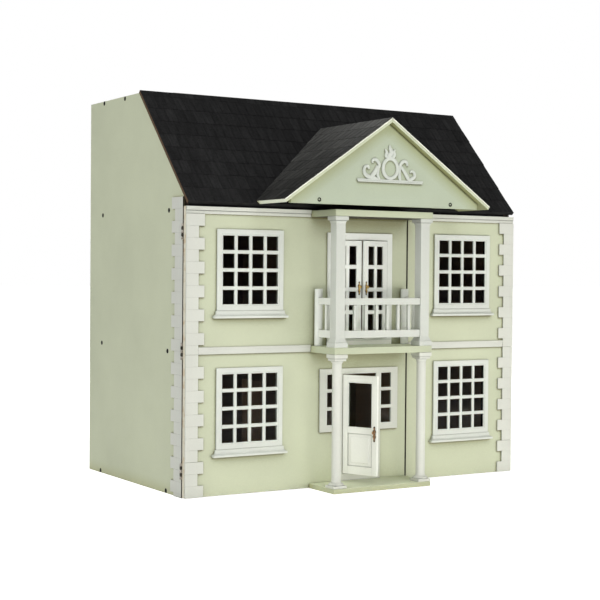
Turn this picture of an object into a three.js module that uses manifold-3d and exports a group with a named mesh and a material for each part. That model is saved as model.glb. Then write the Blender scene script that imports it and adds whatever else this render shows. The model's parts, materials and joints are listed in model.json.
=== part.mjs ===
// A wooden dollhouse with a hinged two-leaf front, a lifting roof, a portico and opening doors.
// Millimetres, +Z up. The front faces -Y. The origin is at the centre of the footprint, on the ground.
import * as THREE from 'three';
import { mergeVertices } from 'three/addons/utils/BufferGeometryUtils.js';
import Module from 'manifold-3d';

const wasm = await Module();
wasm.setup();

// ---- Driving dimensions ----
const HOUSE_W = 740;             // over the corner blocks
const DEPTH = 438;               // from the front trims to the back
const DORMER_OUT = 98;           // the dormer's reach in front of the trims
const FRONT_Y = -(DEPTH - DORMER_OUT) / 2; // plane of the front trims
const BOARD = 9;                 // carcass and leaf board thickness
const TRIM = 3;                  // corner blocks, string course and cornice
const FIT = 0.3;                 // clearance where two pieces meet
const STOREY = 254;              // floor to floor
const TOP_Z = 737;               // top of the flat part of the roof
const LEAF_GAP = 3.5;            // between the front leaves and the carcass
const LEAF_CLEAR = 1.5;          // front leaves above the ground
const LEAF_TOP = 517.5;
const SPLIT_X = 107.4;           // where the two front leaves meet
const SPLIT_GAP = 2.4;

const CORNICE_H = 13;
const STRING_Z = [255, 268];
const BLOCK = 21.1;              // height of one corner block
const BLOCK_LONG = 36;
const BLOCK_SHORT = 24.5;
const BLOCKS_BELOW = 12;         // below the string course
const BLOCKS_ABOVE = 11;
const SIDE_BLOCK_LONG = 44;
const SIDE_BLOCK_SHORT = 31;
const SIDE_BLOCKS = 25;
const SIDE_FIRST_BLOCK = 7;      // top of the cut-off block at the ground

const WINDOW_X = 240.3;          // window centres, left and right of the middle
const WINDOW_Z = [157.2, 405.5]; // glass centres, lower and upper
const GLASS_W = 114;
const GLASS_H = 123;
const BAR = 6.6;                 // glazing bar width
const CASING = 11.5;             // casing round the glass
const SILL_H = 13.5;
const SILL_OVER = 8;             // sill past the casing, each side
const SILL_OUT = 7;              // sill in front of the trims
const CASING_OUT = 1;            // casings in front of the trims
const SHEET = 1.2;               // glazing sheet thickness

const PORCH_X = -3;
const PORCH_HALF = 108.5;
const PORCH_OUT = 82;            // in front of the trims
const BASE_TOP = 10;
const BALCONY_Z = [254, 266];
const ENTABLATURE_Z = [504.5, 516.5];
const COLUMN_X = 94.5;           // column centres from the porch's middle
const BLOCK_SIDE = 28;           // square capitals and bases
const SHAFT_SIDE = 19.5;         // upper columns
const SHAFT_R = 8.65;            // lower columns
const CAP_FLAT = 7;
const CAP_CURVE = 8;

const DOORWAY_HALF = 38;         // entrance opening
const DOORWAY_Z = [24, 211.5];
const FRONT_DOOR = { w: 75, z0: 25, z1: 210.6, t: 5.5, stile: 10.7, glass: [112.4, 197.8] };
const FRONT_DOOR_OPEN = 66;      // degrees, as it stands
const SIDELIGHT = { x0: 49.5, x1: 72.5, z0: 116.5, pane: 27.5, pitch: 33.7, rows: 3 };
const ENTRANCE_GLASS = { half: 78, z: [111, 217], notch: 41, head: 3 };
const ENTRANCE_HALF = 88;
const ENTRANCE_Z = [104, 222];
const JAMB_HALF = 48;
const FRENCH_HALF = 61;          // opening of the pair of French doors
const FRENCH_Z = [277.8, 463.5];
const FRENCH_CASING = { half: 73, z1: 476.8 };
const FRENCH_DOOR = { w: 60.5, z0: 278.5, z1: 462.7, t: 5, stile: 10.6, rail: 9.7, rows: 4, bar: 6.2 };
const FRENCH_OPEN = [4, 10];     // degrees, left and right, as they stand

const RAIL_T = 8;
const RAIL_TOP = [343.5, 355.5];
const RAIL_BOTTOM = [283, 296.5];
const BALUSTER = 5.5;
const BALUSTERS = 6;
const NEWEL = { r: 7.5, x: 97.5, y: -8, z1: 372 };

const ROOF_SLOPE = THREE.MathUtils.degToRad(46.5);
const ROOF_T = 7;
const ROOF_LENGTH = 297;
const ROOF_HALF = 368;
const RIDGE_Y = 207;             // behind the trims
const DORMER_APEX = 688;
const DORMER_FOOT = { x: 229.5, z: 531.5 };
const DORMER_T = 8;
const PEDIMENT = { z0: 525, half: 208, setback: 13 };

const HINGE = { r: 2.2, h: 30, x: 371.6, plate: 1, zs: [33.5, 246, 457.5] };
const RIDGE_HINGE = { r: 1.6, y: 207.9, z: 739.9, half: 300, plate: 1.3, depth: 14 };
const PARTITION = { x: 112, t: 6, doorY: [180, 256], doorH: 178 };

// ---- Materials ----
const paint = (color, roughness = 0.6, metalness = 0) =>
  new THREE.MeshStandardMaterial({ color, roughness, metalness });
const GREEN = () => paint(0xc9d0ab);
const WHITE = () => paint(0xe4e4da, 0.5);
const BARE = () => paint(0xa08058, 0.8);
const BLACK = () => paint(0x26262a, 0.85);
const BRASS = () => paint(0xb08d4a, 0.35, 1);
const CLEAR = () => {
  const glass = paint(0xdde6e6, 0.1);
  glass.transparent = true;
  glass.opacity = 0.3;
  return glass;
};

// ---- Shape helpers. Y is measured from the front trims, back positive ----
const house = new THREE.Group();

function put(name, geometry, material, parent = house) {
  const mesh = new THREE.Mesh(geometry, material);
  mesh.name = name;
  parent.add(mesh);
}

function box(x, y, z) {
  const geometry = new THREE.BoxGeometry(x[1] - x[0], y[1] - y[0], z[1] - z[0]);
  return geometry.translate((x[0] + x[1]) / 2, (y[0] + y[1]) / 2, (z[0] + z[1]) / 2);
}

function outline(points) {
  return new THREE.Shape(points.map(([a, b]) => new THREE.Vector2(a, b)));
}

function rectangle(x, z) {
  return [[x[0], z[0]], [x[1], z[0]], [x[1], z[1]], [x[0], z[1]]];
}

// An outline in X and Z, given thickness along Y.
function facing(shape, y) {
  const geometry = new THREE.ExtrudeGeometry(shape, { depth: y[1] - y[0], bevelEnabled: false, curveSegments: 16 });
  return geometry.rotateX(Math.PI / 2).translate(0, y[1], 0);
}

// An outline in Y and Z, given thickness along X.
function sideways(shape, x) {
  const geometry = new THREE.ExtrudeGeometry(shape, { depth: x[1] - x[0], bevelEnabled: false });
  const turn = new THREE.Matrix4().set(0, 0, 1, x[0], 1, 0, 0, 0, 0, 1, 0, 0, 0, 0, 0, 1);
  return geometry.applyMatrix4(turn);
}

function solid(geometry) {
  const bare = geometry.clone();
  bare.deleteAttribute('normal');
  bare.deleteAttribute('uv');
  const merged = mergeVertices(bare, 1e-4);
  return new wasm.Manifold(new wasm.Mesh({
    numProp: 3,
    vertProperties: new Float32Array(merged.attributes.position.array),
    triVerts: new Uint32Array(merged.index.array),
  }));
}

function toGeometry(manifold) {
  const mesh = manifold.getMesh();
  const geometry = new THREE.BufferGeometry();
  geometry.setAttribute('position', new THREE.BufferAttribute(mesh.vertProperties, 3));
  geometry.setIndex(new THREE.BufferAttribute(mesh.triVerts, 1));
  geometry.computeVertexNormals();
  return geometry;
}

function join(...geometries) {
  return toGeometry(geometries.map(solid).reduce((whole, next) => whole.add(next)));
}

// An outline in X and Z with rectangular holes through it. Each hole is [x range, z range].
function pierced(points, holes, y) {
  const through = [y[0] - 1, y[1] + 1];
  const board = solid(facing(outline(points), y));
  return toGeometry(holes.reduce((rest, [x, z]) => rest.subtract(solid(box(x, through, z))), board));
}

// Rows and columns of panes with equal bars between them, as holes.
function panes(x, z, columns, rows, bar) {
  const w = (x[1] - x[0] - (columns - 1) * bar) / columns;
  const h = (z[1] - z[0] - (rows - 1) * bar) / rows;
  const holes = [];
  for (let i = 0; i < columns; i++) {
    for (let j = 0; j < rows; j++) {
      const left = x[0] + i * (w + bar);
      const low = z[0] + j * (h + bar);
      holes.push([[left, left + w], [low, low + h]]);
    }
  }
  return holes;
}

// The range from a to b on one side of a centre line; side is -1 for left and 1 for right.
function sideSpan(centre, side, a, b) {
  return side < 0 ? [centre - b, centre - a] : [centre + a, centre + b];
}

// ---- Carcass ----
const OUT_X = HOUSE_W / 2 - TRIM;            // outer face of the side panels
const IN_X = OUT_X - BOARD;
const LEAF_Y = [TRIM, TRIM + BOARD];
const CARCASS_Y = LEAF_Y[1] + LEAF_GAP;      // front edge of the carcass
const BACK_Y = [DEPTH - BOARD, DEPTH];
const FLOOR_X = [-IN_X + FIT, IN_X - FIT];
const FLOOR_Y = [CARCASS_Y, BACK_Y[0] - FIT];
const slopeZ = (y) => TOP_Z - (RIDGE_Y - y) * Math.tan(ROOF_SLOPE);

function sidePanel(side) {
  const profile = outline([
    [CARCASS_Y, 0], [DEPTH, 0], [DEPTH, TOP_Z], [RIDGE_Y, TOP_Z], [CARCASS_Y, slopeZ(CARCASS_Y)],
  ]);
  return sideways(profile, side < 0 ? [-OUT_X, -IN_X] : [IN_X, OUT_X]);
}

// The stepped edge of long and short blocks by turns, up from z0, long first. Each point is [depth, z].
function blockEdge(z0, blocks, long, short) {
  const points = [];
  for (let i = 0; i < blocks; i++) {
    const depth = i % 2 ? short : long;
    points.push([depth, z0 + i * BLOCK], [depth, z0 + (i + 1) * BLOCK]);
  }
  return points;
}

function sideQuoins(side) {
  const edge = [[SIDE_BLOCK_SHORT, 0], [SIDE_BLOCK_SHORT, SIDE_FIRST_BLOCK],
    ...blockEdge(SIDE_FIRST_BLOCK, SIDE_BLOCKS, SIDE_BLOCK_LONG, SIDE_BLOCK_SHORT)];
  const profile = outline([[CARCASS_Y, 0], ...edge.map(([d, z]) => [CARCASS_Y + d, z]),
    [CARCASS_Y, SIDE_FIRST_BLOCK + SIDE_BLOCKS * BLOCK]]);
  const x = [OUT_X + FIT, OUT_X + TRIM];
  return sideways(profile, side < 0 ? [-x[1], -x[0]] : x);
}

function partition(x, z) {
  const t = PARTITION.t / 2;
  const [d0, d1] = PARTITION.doorY;
  const profile = outline([
    [FLOOR_Y[0], z[0]], [d0, z[0]], [d0, z[0] + PARTITION.doorH], [d1, z[0] + PARTITION.doorH],
    [d1, z[0]], [FLOOR_Y[1] - FIT, z[0]], [FLOOR_Y[1] - FIT, z[1]], [FLOOR_Y[0], z[1]],
  ]);
  return sideways(profile, [x - t, x + t]);
}

put('left_side_panel', sidePanel(-1), GREEN());
put('right_side_panel', sidePanel(1), GREEN());
put('base_board', box(FLOOR_X, FLOOR_Y, [0, BOARD]), BARE());
put('middle_floor', box(FLOOR_X, FLOOR_Y, [STOREY, STOREY + BOARD]), BARE());
put('attic_floor', box(FLOOR_X, FLOOR_Y, [2 * STOREY, 2 * STOREY + BOARD]), BARE());
put('top_panel', box(FLOOR_X, [RIDGE_Y + 2 * FIT, FLOOR_Y[1]], [TOP_Z - BOARD, TOP_Z]), GREEN());
put('back_panel', box(FLOOR_X, BACK_Y, [0, TOP_Z]), BARE());
put('eaves_rail', box(FLOOR_X, [CARCASS_Y, CARCASS_Y + BOARD], [2 * STOREY + BOARD + FIT, 534]), BLACK());
put('left_side_quoins', sideQuoins(-1), WHITE());
put('right_side_quoins', sideQuoins(1), WHITE());
for (const [word, low] of [['ground', BOARD], ['upper', STOREY + BOARD]]) {
  const z = [low + FIT, low + STOREY - BOARD - FIT];
  put(`left_${word}_partition`, partition(-PARTITION.x, z), BARE());
  put(`right_${word}_partition`, partition(PARTITION.x, z), BARE());
}

// ---- Hinges ----
function barrel(radius, length) {
  return new THREE.CylinderGeometry(radius, radius, length, 20);
}

function leafHinge(side, z) {
  const y = LEAF_Y[1] + LEAF_GAP / 2;
  const pin = barrel(HINGE.r, HINGE.h).rotateX(Math.PI / 2).translate(side * HINGE.x, y, z + HINGE.h / 2);
  const x = [HINGE.x - HINGE.r / 2, OUT_X - BOARD + 1].map((v) => side * v).sort((a, b) => a - b);
  const plateY = CARCASS_Y - FIT - HINGE.plate;
  return join(pin, box(x, [plateY, plateY + HINGE.plate], [z + FIT, z + HINGE.h - FIT]));
}

function ridgeHinge() {
  const { r, y, z, half, plate, depth } = RIDGE_HINGE;
  const pin = barrel(r, 2 * half).rotateZ(Math.PI / 2).translate(0, y, z);
  return join(pin, box([-half + FIT, half - FIT], [y, y + depth], [TOP_Z + FIT, TOP_Z + FIT + plate]));
}

HINGE.zs.forEach((z, i) => {
  const place = ['bottom', 'middle', 'top'][i];
  put(`left_hinge_${place}`, leafHinge(-1, z), BRASS());
  put(`right_hinge_${place}`, leafHinge(1, z), BRASS());
});
put('ridge_hinge', ridgeHinge(), BRASS());

// ---- Front leaves ----
const EDGE_X = HOUSE_W / 2;
const LEFT_X = [-EDGE_X, SPLIT_X - SPLIT_GAP / 2];
const RIGHT_X = [SPLIT_X + SPLIT_GAP / 2, EDGE_X];
const CORNICE_Z = [LEAF_TOP - CORNICE_H, LEAF_TOP];
const PORCH_SPAN = [PORCH_X - PORCH_HALF, PORCH_X + PORCH_HALF];
const TRIM_Y = [0, TRIM - FIT];

const HOLE_W = GLASS_W / 2 + 3;
const HOLE_H = GLASS_H / 2 + 3;
const windowHoles = (x) => WINDOW_Z.map((z) => [[x - HOLE_W, x + HOLE_W], [z - HOLE_H, z + HOLE_H]]);
const DOORWAY = [[PORCH_X - DOORWAY_HALF, PORCH_X + DOORWAY_HALF], DOORWAY_Z];
const FRENCH_DOORWAY = [[PORCH_X - FRENCH_HALF, PORCH_X + FRENCH_HALF], FRENCH_Z];
const SIDELIGHT_TOP = SIDELIGHT.z0 + (SIDELIGHT.rows - 1) * SIDELIGHT.pitch + SIDELIGHT.pane;

function leftFrontPanel() {
  const { half, z } = ENTRANCE_GLASS;
  const doorUnit = [[PORCH_X - half - FIT, PORCH_X + half + FIT], [z[0] - FIT, z[1] + FIT]];
  const holes = [...windowHoles(-WINDOW_X), doorUnit, DOORWAY, FRENCH_DOORWAY];
  return pierced(rectangle(LEFT_X, [LEAF_CLEAR, LEAF_TOP]), holes, LEAF_Y);
}

function rightFrontPanel() {
  return pierced(rectangle(RIGHT_X, [LEAF_CLEAR, LEAF_TOP]), windowHoles(WINDOW_X), LEAF_Y);
}

function leafQuoins(side) {
  const top = CORNICE_Z[0] - FIT;
  const firstAbove = top - BLOCKS_ABOVE * BLOCK;
  const lower = blockEdge(LEAF_CLEAR, BLOCKS_BELOW, BLOCK_LONG, BLOCK_SHORT);
  const upper = blockEdge(firstAbove, BLOCKS_ABOVE, BLOCK_LONG, BLOCK_SHORT);
  const points = [[0, LEAF_CLEAR], ...lower, [BLOCK_SHORT, firstAbove], ...upper, [0, top]];
  return facing(outline(points.map(([d, z]) => [side * (EDGE_X - d), z])), TRIM_Y);
}

function windowFrame(x, z) {
  const w = GLASS_W / 2;
  const h = GLASS_H / 2;
  const low = z - h - CASING;
  const casing = pierced(rectangle([x - w - CASING, x + w + CASING], [low, z + h + CASING]),
    panes([x - w, x + w], [z - h, z + h], 4, 4, BAR), [-CASING_OUT, TRIM - FIT]);
  const sill = box([x - w - CASING - SILL_OVER, x + w + CASING + SILL_OVER], [-SILL_OUT, TRIM - FIT],
    [low - SILL_H, low + FIT]);
  return join(casing, sill);
}

function glazing(x, z) {
  const slack = 2.5;
  return box([x - GLASS_W / 2 - slack, x + GLASS_W / 2 + slack], [TRIM, TRIM + SHEET],
    [z - GLASS_H / 2 - slack, z + GLASS_H / 2 + slack]);
}

const leftLeaf = new THREE.Group();
const rightLeaf = new THREE.Group();
house.add(leftLeaf, rightLeaf);

put('left_front_panel', leftFrontPanel(), GREEN(), leftLeaf);
put('right_front_panel', rightFrontPanel(), GREEN(), rightLeaf);
for (const [word, side, leaf, inner] of [['left', -1, leftLeaf, PORCH_SPAN[0]], ['right', 1, rightLeaf, RIGHT_X[0]]]) {
  const band = (outer) => [side * (EDGE_X - outer), inner + side * FIT].sort((a, b) => a - b);
  put(`${word}_front_quoins`, leafQuoins(side), WHITE(), leaf);
  put(`${word}_string_course`, box(band(BLOCK_SHORT + FIT), TRIM_Y, STRING_Z), WHITE(), leaf);
  put(`${word}_cornice`, box(band(0), TRIM_Y, CORNICE_Z), WHITE(), leaf);
  WINDOW_Z.forEach((z, i) => {
    const level = ['lower', 'upper'][i];
    put(`${word}_${level}_window_frame`, windowFrame(side * WINDOW_X, z), WHITE(), leaf);
    put(`${word}_${level}_window_glass`, glazing(side * WINDOW_X, z), CLEAR(), leaf);
  });
}

// ---- Door frames ----
function entranceFrame() {
  const [z0, z1] = ENTRANCE_Z;
  const edge = [
    [-JAMB_HALF, BASE_TOP + FIT], [JAMB_HALF, BASE_TOP + FIT], [JAMB_HALF, z0], [ENTRANCE_HALF, z0],
    [ENTRANCE_HALF, z1], [-ENTRANCE_HALF, z1], [-ENTRANCE_HALF, z0], [-JAMB_HALF, z0],
  ].map(([x, z]) => [PORCH_X + x, z]);
  const holes = [-1, 1].flatMap((side) => panes(sideSpan(PORCH_X, side, SIDELIGHT.x0, SIDELIGHT.x1),
    [SIDELIGHT.z0, SIDELIGHT_TOP], 1, SIDELIGHT.rows, SIDELIGHT.pitch - SIDELIGHT.pane));
  return pierced(edge, [...holes, DOORWAY], [-CASING_OUT, TRIM - FIT]);
}

function frenchFrame() {
  const { half, z1 } = FRENCH_CASING;
  return pierced(rectangle([PORCH_X - half, PORCH_X + half], [BALCONY_Z[1] + FIT, z1]), [FRENCH_DOORWAY],
    [-CASING_OUT, TRIM - FIT]);
}

// One sheet behind both side windows of the entrance, notched round the doorway.
function entranceGlass() {
  const { half, z, notch, head } = ENTRANCE_GLASS;
  const doorway = [[PORCH_X - notch, PORCH_X + notch], [0, DOORWAY_Z[1] + head]];
  return pierced(rectangle([PORCH_X - half, PORCH_X + half], z), [doorway], [TRIM, TRIM + SHEET]);
}

put('entrance_frame', entranceFrame(), WHITE(), leftLeaf);
put('entrance_glass', entranceGlass(), CLEAR(), leftLeaf);
put('french_door_frame', frenchFrame(), WHITE(), leftLeaf);

// ---- Portico ----
const COLUMN_Y = -PORCH_OUT + BLOCK_SIDE / 2;

function porchSlab(z) {
  return box(PORCH_SPAN, [-PORCH_OUT, TRIM - FIT], z);
}

function centredBox(x, y, side, z) {
  return box([x - side / 2, x + side / 2], [y - side / 2, y + side / 2], z);
}

// A hollow curve from one half-width to another, as [half-width, z] points; rise is +1 up or -1 down.
function cove(from, to, z, rise) {
  const steps = 5;
  const points = [];
  for (let i = 0; i <= steps; i++) {
    const angle = (i / steps) * (Math.PI / 2);
    points.push([to + (from - to) * (1 - Math.sin(angle)), z + rise * CAP_CURVE * (1 - Math.cos(angle))]);
  }
  return points;
}

// A profile of [half-width, z] points turned about an upright axis: 4 sides make a square section.
function turned(profile, sides, x, y) {
  const reach = sides === 4 ? Math.SQRT2 : 1;
  const points = profile.map(([r, z]) => new THREE.Vector2(r * reach, z));
  const start = Math.PI / sides;
  const geometry = new THREE.LatheGeometry(points, sides, start);
  return geometry.rotateX(Math.PI / 2).translate(x, y, 0);
}

function upperColumn(x) {
  const [z0, z1] = [BALCONY_Z[1] + FIT, ENTABLATURE_Z[0] - FIT];
  const [wide, narrow] = [BLOCK_SIDE / 2, SHAFT_SIDE / 2];
  const profile = [
    [0, z0], [wide, z0], ...cove(wide - 1, narrow, z0 + CAP_FLAT, 1),
    ...cove(wide - 1, narrow, z1 - CAP_FLAT, -1).reverse(), [wide, z1], [0, z1],
  ];
  profile.splice(2, 0, [wide, z0 + CAP_FLAT]);
  profile.splice(profile.length - 2, 0, [wide, z1 - CAP_FLAT]);
  return turned(profile, 4, x, COLUMN_Y);
}

// Half-round ring with a step to the shaft, as [radius, z] points; rise is +1 up or -1 down.
function torus(z, rise) {
  const ring = BLOCK_SIDE / 2 - 1;
  const bulge = CAP_CURVE * 0.3;
  const points = [];
  for (let i = 0; i <= 6; i++) {
    const angle = -Math.PI / 2 + (i / 6) * Math.PI;
    points.push([ring - bulge + bulge * Math.cos(angle), z + rise * bulge * (1 + Math.sin(angle))]);
  }
  return [...points, [SHAFT_R + 1.2, z + rise * CAP_CURVE * 0.7], [SHAFT_R, z + rise * CAP_CURVE]];
}

function lowerColumn(x) {
  const [z0, z1] = [BASE_TOP + FIT, BALCONY_Z[0] - FIT];
  const low = z0 + CAP_FLAT - FIT;
  const high = z1 - CAP_FLAT + FIT;
  const profile = [[0, low], ...torus(low, 1), ...torus(high, -1).reverse(), [0, high]];
  return join(
    turned(profile, 28, x, COLUMN_Y),
    centredBox(x, COLUMN_Y, BLOCK_SIDE, [z0, z0 + CAP_FLAT]),
    centredBox(x, COLUMN_Y, BLOCK_SIDE, [z1 - CAP_FLAT, z1]),
  );
}

put('porch_base', porchSlab([LEAF_CLEAR - FIT, BASE_TOP]), GREEN(), leftLeaf);
put('balcony_floor', porchSlab(BALCONY_Z), GREEN(), leftLeaf);
put('entablature', porchSlab(ENTABLATURE_Z), GREEN(), leftLeaf);
for (const [word, side] of [['left', -1], ['right', 1]]) {
  put(`${word}_lower_column`, lowerColumn(PORCH_X + side * COLUMN_X), WHITE(), leftLeaf);
  put(`${word}_upper_column`, upperColumn(PORCH_X + side * COLUMN_X), WHITE(), leftLeaf);
}

// ---- Balcony railing ----
const BALUSTER_Z = [RAIL_BOTTOM[1] - FIT, RAIL_TOP[0] + FIT];

function frontRailing() {
  const reach = COLUMN_X - SHAFT_SIDE / 2 - FIT;
  const x = [PORCH_X - reach, PORCH_X + reach];
  const front = COLUMN_Y - SHAFT_SIDE / 2 + 1;
  const y = [front, front + RAIL_T];
  const parts = [box(x, y, RAIL_TOP), box(x, y, RAIL_BOTTOM)];
  const pitch = (x[1] - x[0]) / (BALUSTERS + 1);
  for (let i = 1; i <= BALUSTERS; i++) {
    parts.push(centredBox(x[0] + i * pitch, front + RAIL_T / 2, BALUSTER, BALUSTER_Z));
  }
  return join(...parts);
}

function sideRailing(side) {
  const x = PORCH_X + side * NEWEL.x;
  const across = [x - RAIL_T / 2, x + RAIL_T / 2];
  const back = COLUMN_Y + SHAFT_SIDE / 2 + FIT;
  const [z0, z1] = [BALCONY_Z[1] + FIT, NEWEL.z1];
  const post = barrel(NEWEL.r, z1 - z0).rotateX(Math.PI / 2).translate(x, NEWEL.y, (z0 + z1) / 2);
  return join(
    post,
    box(across, [back, NEWEL.y], RAIL_TOP),
    box(across, [back, NEWEL.y], RAIL_BOTTOM),
    centredBox(x, (back + NEWEL.y - NEWEL.r) / 2, BALUSTER, BALUSTER_Z),
  );
}

put('balcony_front_railing', frontRailing(), WHITE(), leftLeaf);
put('balcony_left_railing', sideRailing(-1), WHITE(), leftLeaf);
put('balcony_right_railing', sideRailing(1), WHITE(), leftLeaf);

// ---- Doors. Each hangs in a group at its hinge edge and turns about its front corner ----
const DOOR_Y = -CASING_OUT - 0.5;

function hang(x, degrees) {
  const group = new THREE.Group();
  group.position.set(x, DOOR_Y, 0);
  group.rotation.z = THREE.MathUtils.degToRad(degrees);
  leftLeaf.add(group);
  return group;
}

function frontDoor() {
  const { w, z0, z1, t, stile, glass } = FRONT_DOOR;
  return pierced(rectangle([0, w], [z0, z1]), [[[stile, w - stile], glass]], [0, t]);
}

function doorGlass() {
  const { w, t, stile, glass } = FRONT_DOOR;
  return box([stile + FIT, w - stile - FIT], [t / 2, t / 2 + SHEET], [glass[0] + FIT, glass[1] - FIT]);
}

function doorHandle() {
  const x = FRONT_DOOR.w - FRONT_DOOR.stile / 2;
  const z = 103;
  const plate = box([x - 2.4, x + 2.4], [-FIT - 1, -FIT], [z - 15, z + 15]);
  const knob = new THREE.LatheGeometry(
    [[0, 0], [1.2, 0], [1.2, 2.5], [3, 4.2], [2.6, 6], [0, 6.8]].map(([r, y]) => new THREE.Vector2(r, y)), 20);
  return join(plate, knob.rotateX(Math.PI).translate(x, -FIT - 0.5, z));
}

// side is -1 for the door hung on the left, and 1 for the one hung on the right.
function frenchDoor(side) {
  const { w, z0, z1, t, stile, rail, rows, bar } = FRENCH_DOOR;
  return pierced(rectangle(sideSpan(0, -side, 0, w), [z0, z1]),
    panes(sideSpan(0, -side, stile, w - stile), [z0 + rail, z1 - rail], 2, rows, bar), [0, t]);
}

const entrance = hang(PORCH_X - FRONT_DOOR.w / 2, -FRONT_DOOR_OPEN);
put('front_door', frontDoor(), WHITE(), entrance);
put('front_door_glass', doorGlass(), CLEAR(), entrance);
put('front_door_handle', doorHandle(), BRASS(), entrance);
for (const [word, side, open] of [['left', -1, FRENCH_OPEN[0]], ['right', 1, FRENCH_OPEN[1]]]) {
  const edge = PORCH_X + side * (FRENCH_HALF - 0.2);
  put(`${word}_french_door`, frenchDoor(side), WHITE(), hang(edge, side * open));
}

// ---- Roof ----
const DOWN = [-Math.cos(ROOF_SLOPE), -Math.sin(ROOF_SLOPE)];   // down the slope, in Y and Z
const UP = [-Math.sin(ROOF_SLOPE), Math.cos(ROOF_SLOPE)];      // square to the roof, outwards
const onRoof = (along, out) => [
  RIDGE_Y + DOWN[0] * along + UP[0] * out, TOP_Z + DOWN[1] * along + UP[1] * out,
];
const [TOP_Y0, TOP_Z0] = onRoof(0, FIT + ROOF_T + FIT);
const roofTopY = (z) => TOP_Y0 - (TOP_Z0 - z) / Math.tan(ROOF_SLOPE);
const DORMER_SLOPE = Math.atan2(DORMER_APEX - DORMER_FOOT.z, DORMER_FOOT.x);
const dormerInnerZ = (x) => DORMER_APEX - DORMER_T / Math.cos(DORMER_SLOPE) - Math.abs(x) * Math.tan(DORMER_SLOPE);

function roofBoard() {
  const profile = outline([onRoof(0, FIT), onRoof(0, FIT + ROOF_T), onRoof(ROOF_LENGTH, FIT + ROOF_T),
    onRoof(ROOF_LENGTH, FIT)]);
  return sideways(profile, [-ROOF_HALF, ROOF_HALF]);
}

// The back end of every edge is moved onto the main roof's surface.
function scribe(geometry) {
  const p = geometry.attributes.position;
  for (let i = 0; i < p.count; i++) {
    if (p.getY(i) > 0) p.setY(i, roofTopY(p.getZ(i)));
  }
  return geometry;
}

function dormerBoard(side) {
  const drop = [Math.sin(DORMER_SLOPE) * DORMER_T, Math.cos(DORMER_SLOPE) * DORMER_T];
  const mitre = FIT / 2;
  const outerZ = (x) => DORMER_APEX - x * Math.tan(DORMER_SLOPE);
  const points = [
    [mitre, outerZ(mitre)], [DORMER_FOOT.x, DORMER_FOOT.z],
    [DORMER_FOOT.x - drop[0], DORMER_FOOT.z - drop[1]], [mitre, dormerInnerZ(mitre)],
  ];
  const shape = outline(points.map(([x, z]) => [side * x, z]));
  return scribe(facing(shape, [-DORMER_OUT, 1]));
}

function pedimentBoard() {
  const { z0, half, setback } = PEDIMENT;
  const shoulder = dormerInnerZ(half) - FIT;
  const shape = outline([[-half, z0], [half, z0], [half, shoulder], [0, dormerInnerZ(0) - FIT], [-half, shoulder]]);
  return facing(shape, [-DORMER_OUT + setback, -DORMER_OUT + setback + BOARD]);
}

function band(cx, cz, r, width, a0, a1) {
  const shape = new THREE.Shape();
  shape.absarc(cx, cz, r, a0, a1, false);
  shape.absarc(cx, cz, r - width, a1, a0, true);
  return shape;
}

// A generic applied ornament: a bar, an oval ring, a finial, and a pair of scrolls each side.
function ornament() {
  const x0 = 5;
  const z0 = 568;
  const y = [-DORMER_OUT + PEDIMENT.setback - TRIM, -DORMER_OUT + PEDIMENT.setback - FIT];
  const bar = outline(rectangle([x0 - 71, x0 + 71], [z0, z0 + 6]));
  const ring = new THREE.Shape();
  ring.absellipse(x0, z0 + 25, 19, 23, 0, 2 * Math.PI, false, 0);
  const eye = new THREE.Path();
  eye.absellipse(x0, z0 + 25, 12, 16, 0, 2 * Math.PI, true, 0);
  ring.holes.push(eye);
  const parts = [bar, ring, outline([[x0 - 7, z0 + 44], [x0 + 7, z0 + 44], [x0 + 3, z0 + 70], [x0 - 3, z0 + 70]])];
  for (const side of [-1, 1]) {
    parts.push(band(x0 + side * 29, z0 + 15, 14, 6, -0.3, Math.PI + 0.3));
    parts.push(band(x0 + side * 53, z0 + 10, 11, 6, -0.3, Math.PI + 0.3));
  }
  return join(...parts.map((shape) => facing(shape, y)));
}

const roof = new THREE.Group();
house.add(roof);
put('roof_board', roofBoard(), BLACK(), roof);
put('left_dormer_board', dormerBoard(-1), BLACK(), roof);
put('right_dormer_board', dormerBoard(1), BLACK(), roof);
put('pediment_board', pedimentBoard(), GREEN(), roof);
put('pediment_ornament', ornament(), WHITE(), roof);

house.position.y = FRONT_Y;
house.updateMatrixWorld(true);

export default house;
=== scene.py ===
import json
import random
from math import atan, ceil, cos, pi, radians, sin, tan

import bmesh
import bpy
from mathutils import Matrix, Vector


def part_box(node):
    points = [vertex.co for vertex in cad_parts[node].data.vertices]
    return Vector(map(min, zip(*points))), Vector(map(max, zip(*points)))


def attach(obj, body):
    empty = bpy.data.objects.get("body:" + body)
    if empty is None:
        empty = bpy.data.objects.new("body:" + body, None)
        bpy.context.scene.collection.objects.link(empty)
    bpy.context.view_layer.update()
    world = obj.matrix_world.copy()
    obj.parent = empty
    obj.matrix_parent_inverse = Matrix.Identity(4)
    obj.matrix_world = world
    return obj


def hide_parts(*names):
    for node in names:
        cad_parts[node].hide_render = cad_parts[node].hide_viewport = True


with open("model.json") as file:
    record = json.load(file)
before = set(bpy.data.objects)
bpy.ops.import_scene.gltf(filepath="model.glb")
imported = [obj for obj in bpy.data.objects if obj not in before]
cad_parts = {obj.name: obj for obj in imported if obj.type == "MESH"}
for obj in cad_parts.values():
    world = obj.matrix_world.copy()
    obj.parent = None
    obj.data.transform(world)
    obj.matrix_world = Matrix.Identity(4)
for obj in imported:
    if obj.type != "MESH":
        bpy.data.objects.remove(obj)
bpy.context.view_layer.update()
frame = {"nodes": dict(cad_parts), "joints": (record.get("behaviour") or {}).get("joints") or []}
NODES = frame["nodes"]
SCENE = bpy.context.scene
MM = 0.001
rng = random.Random(11)

# ------------ materials


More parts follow.
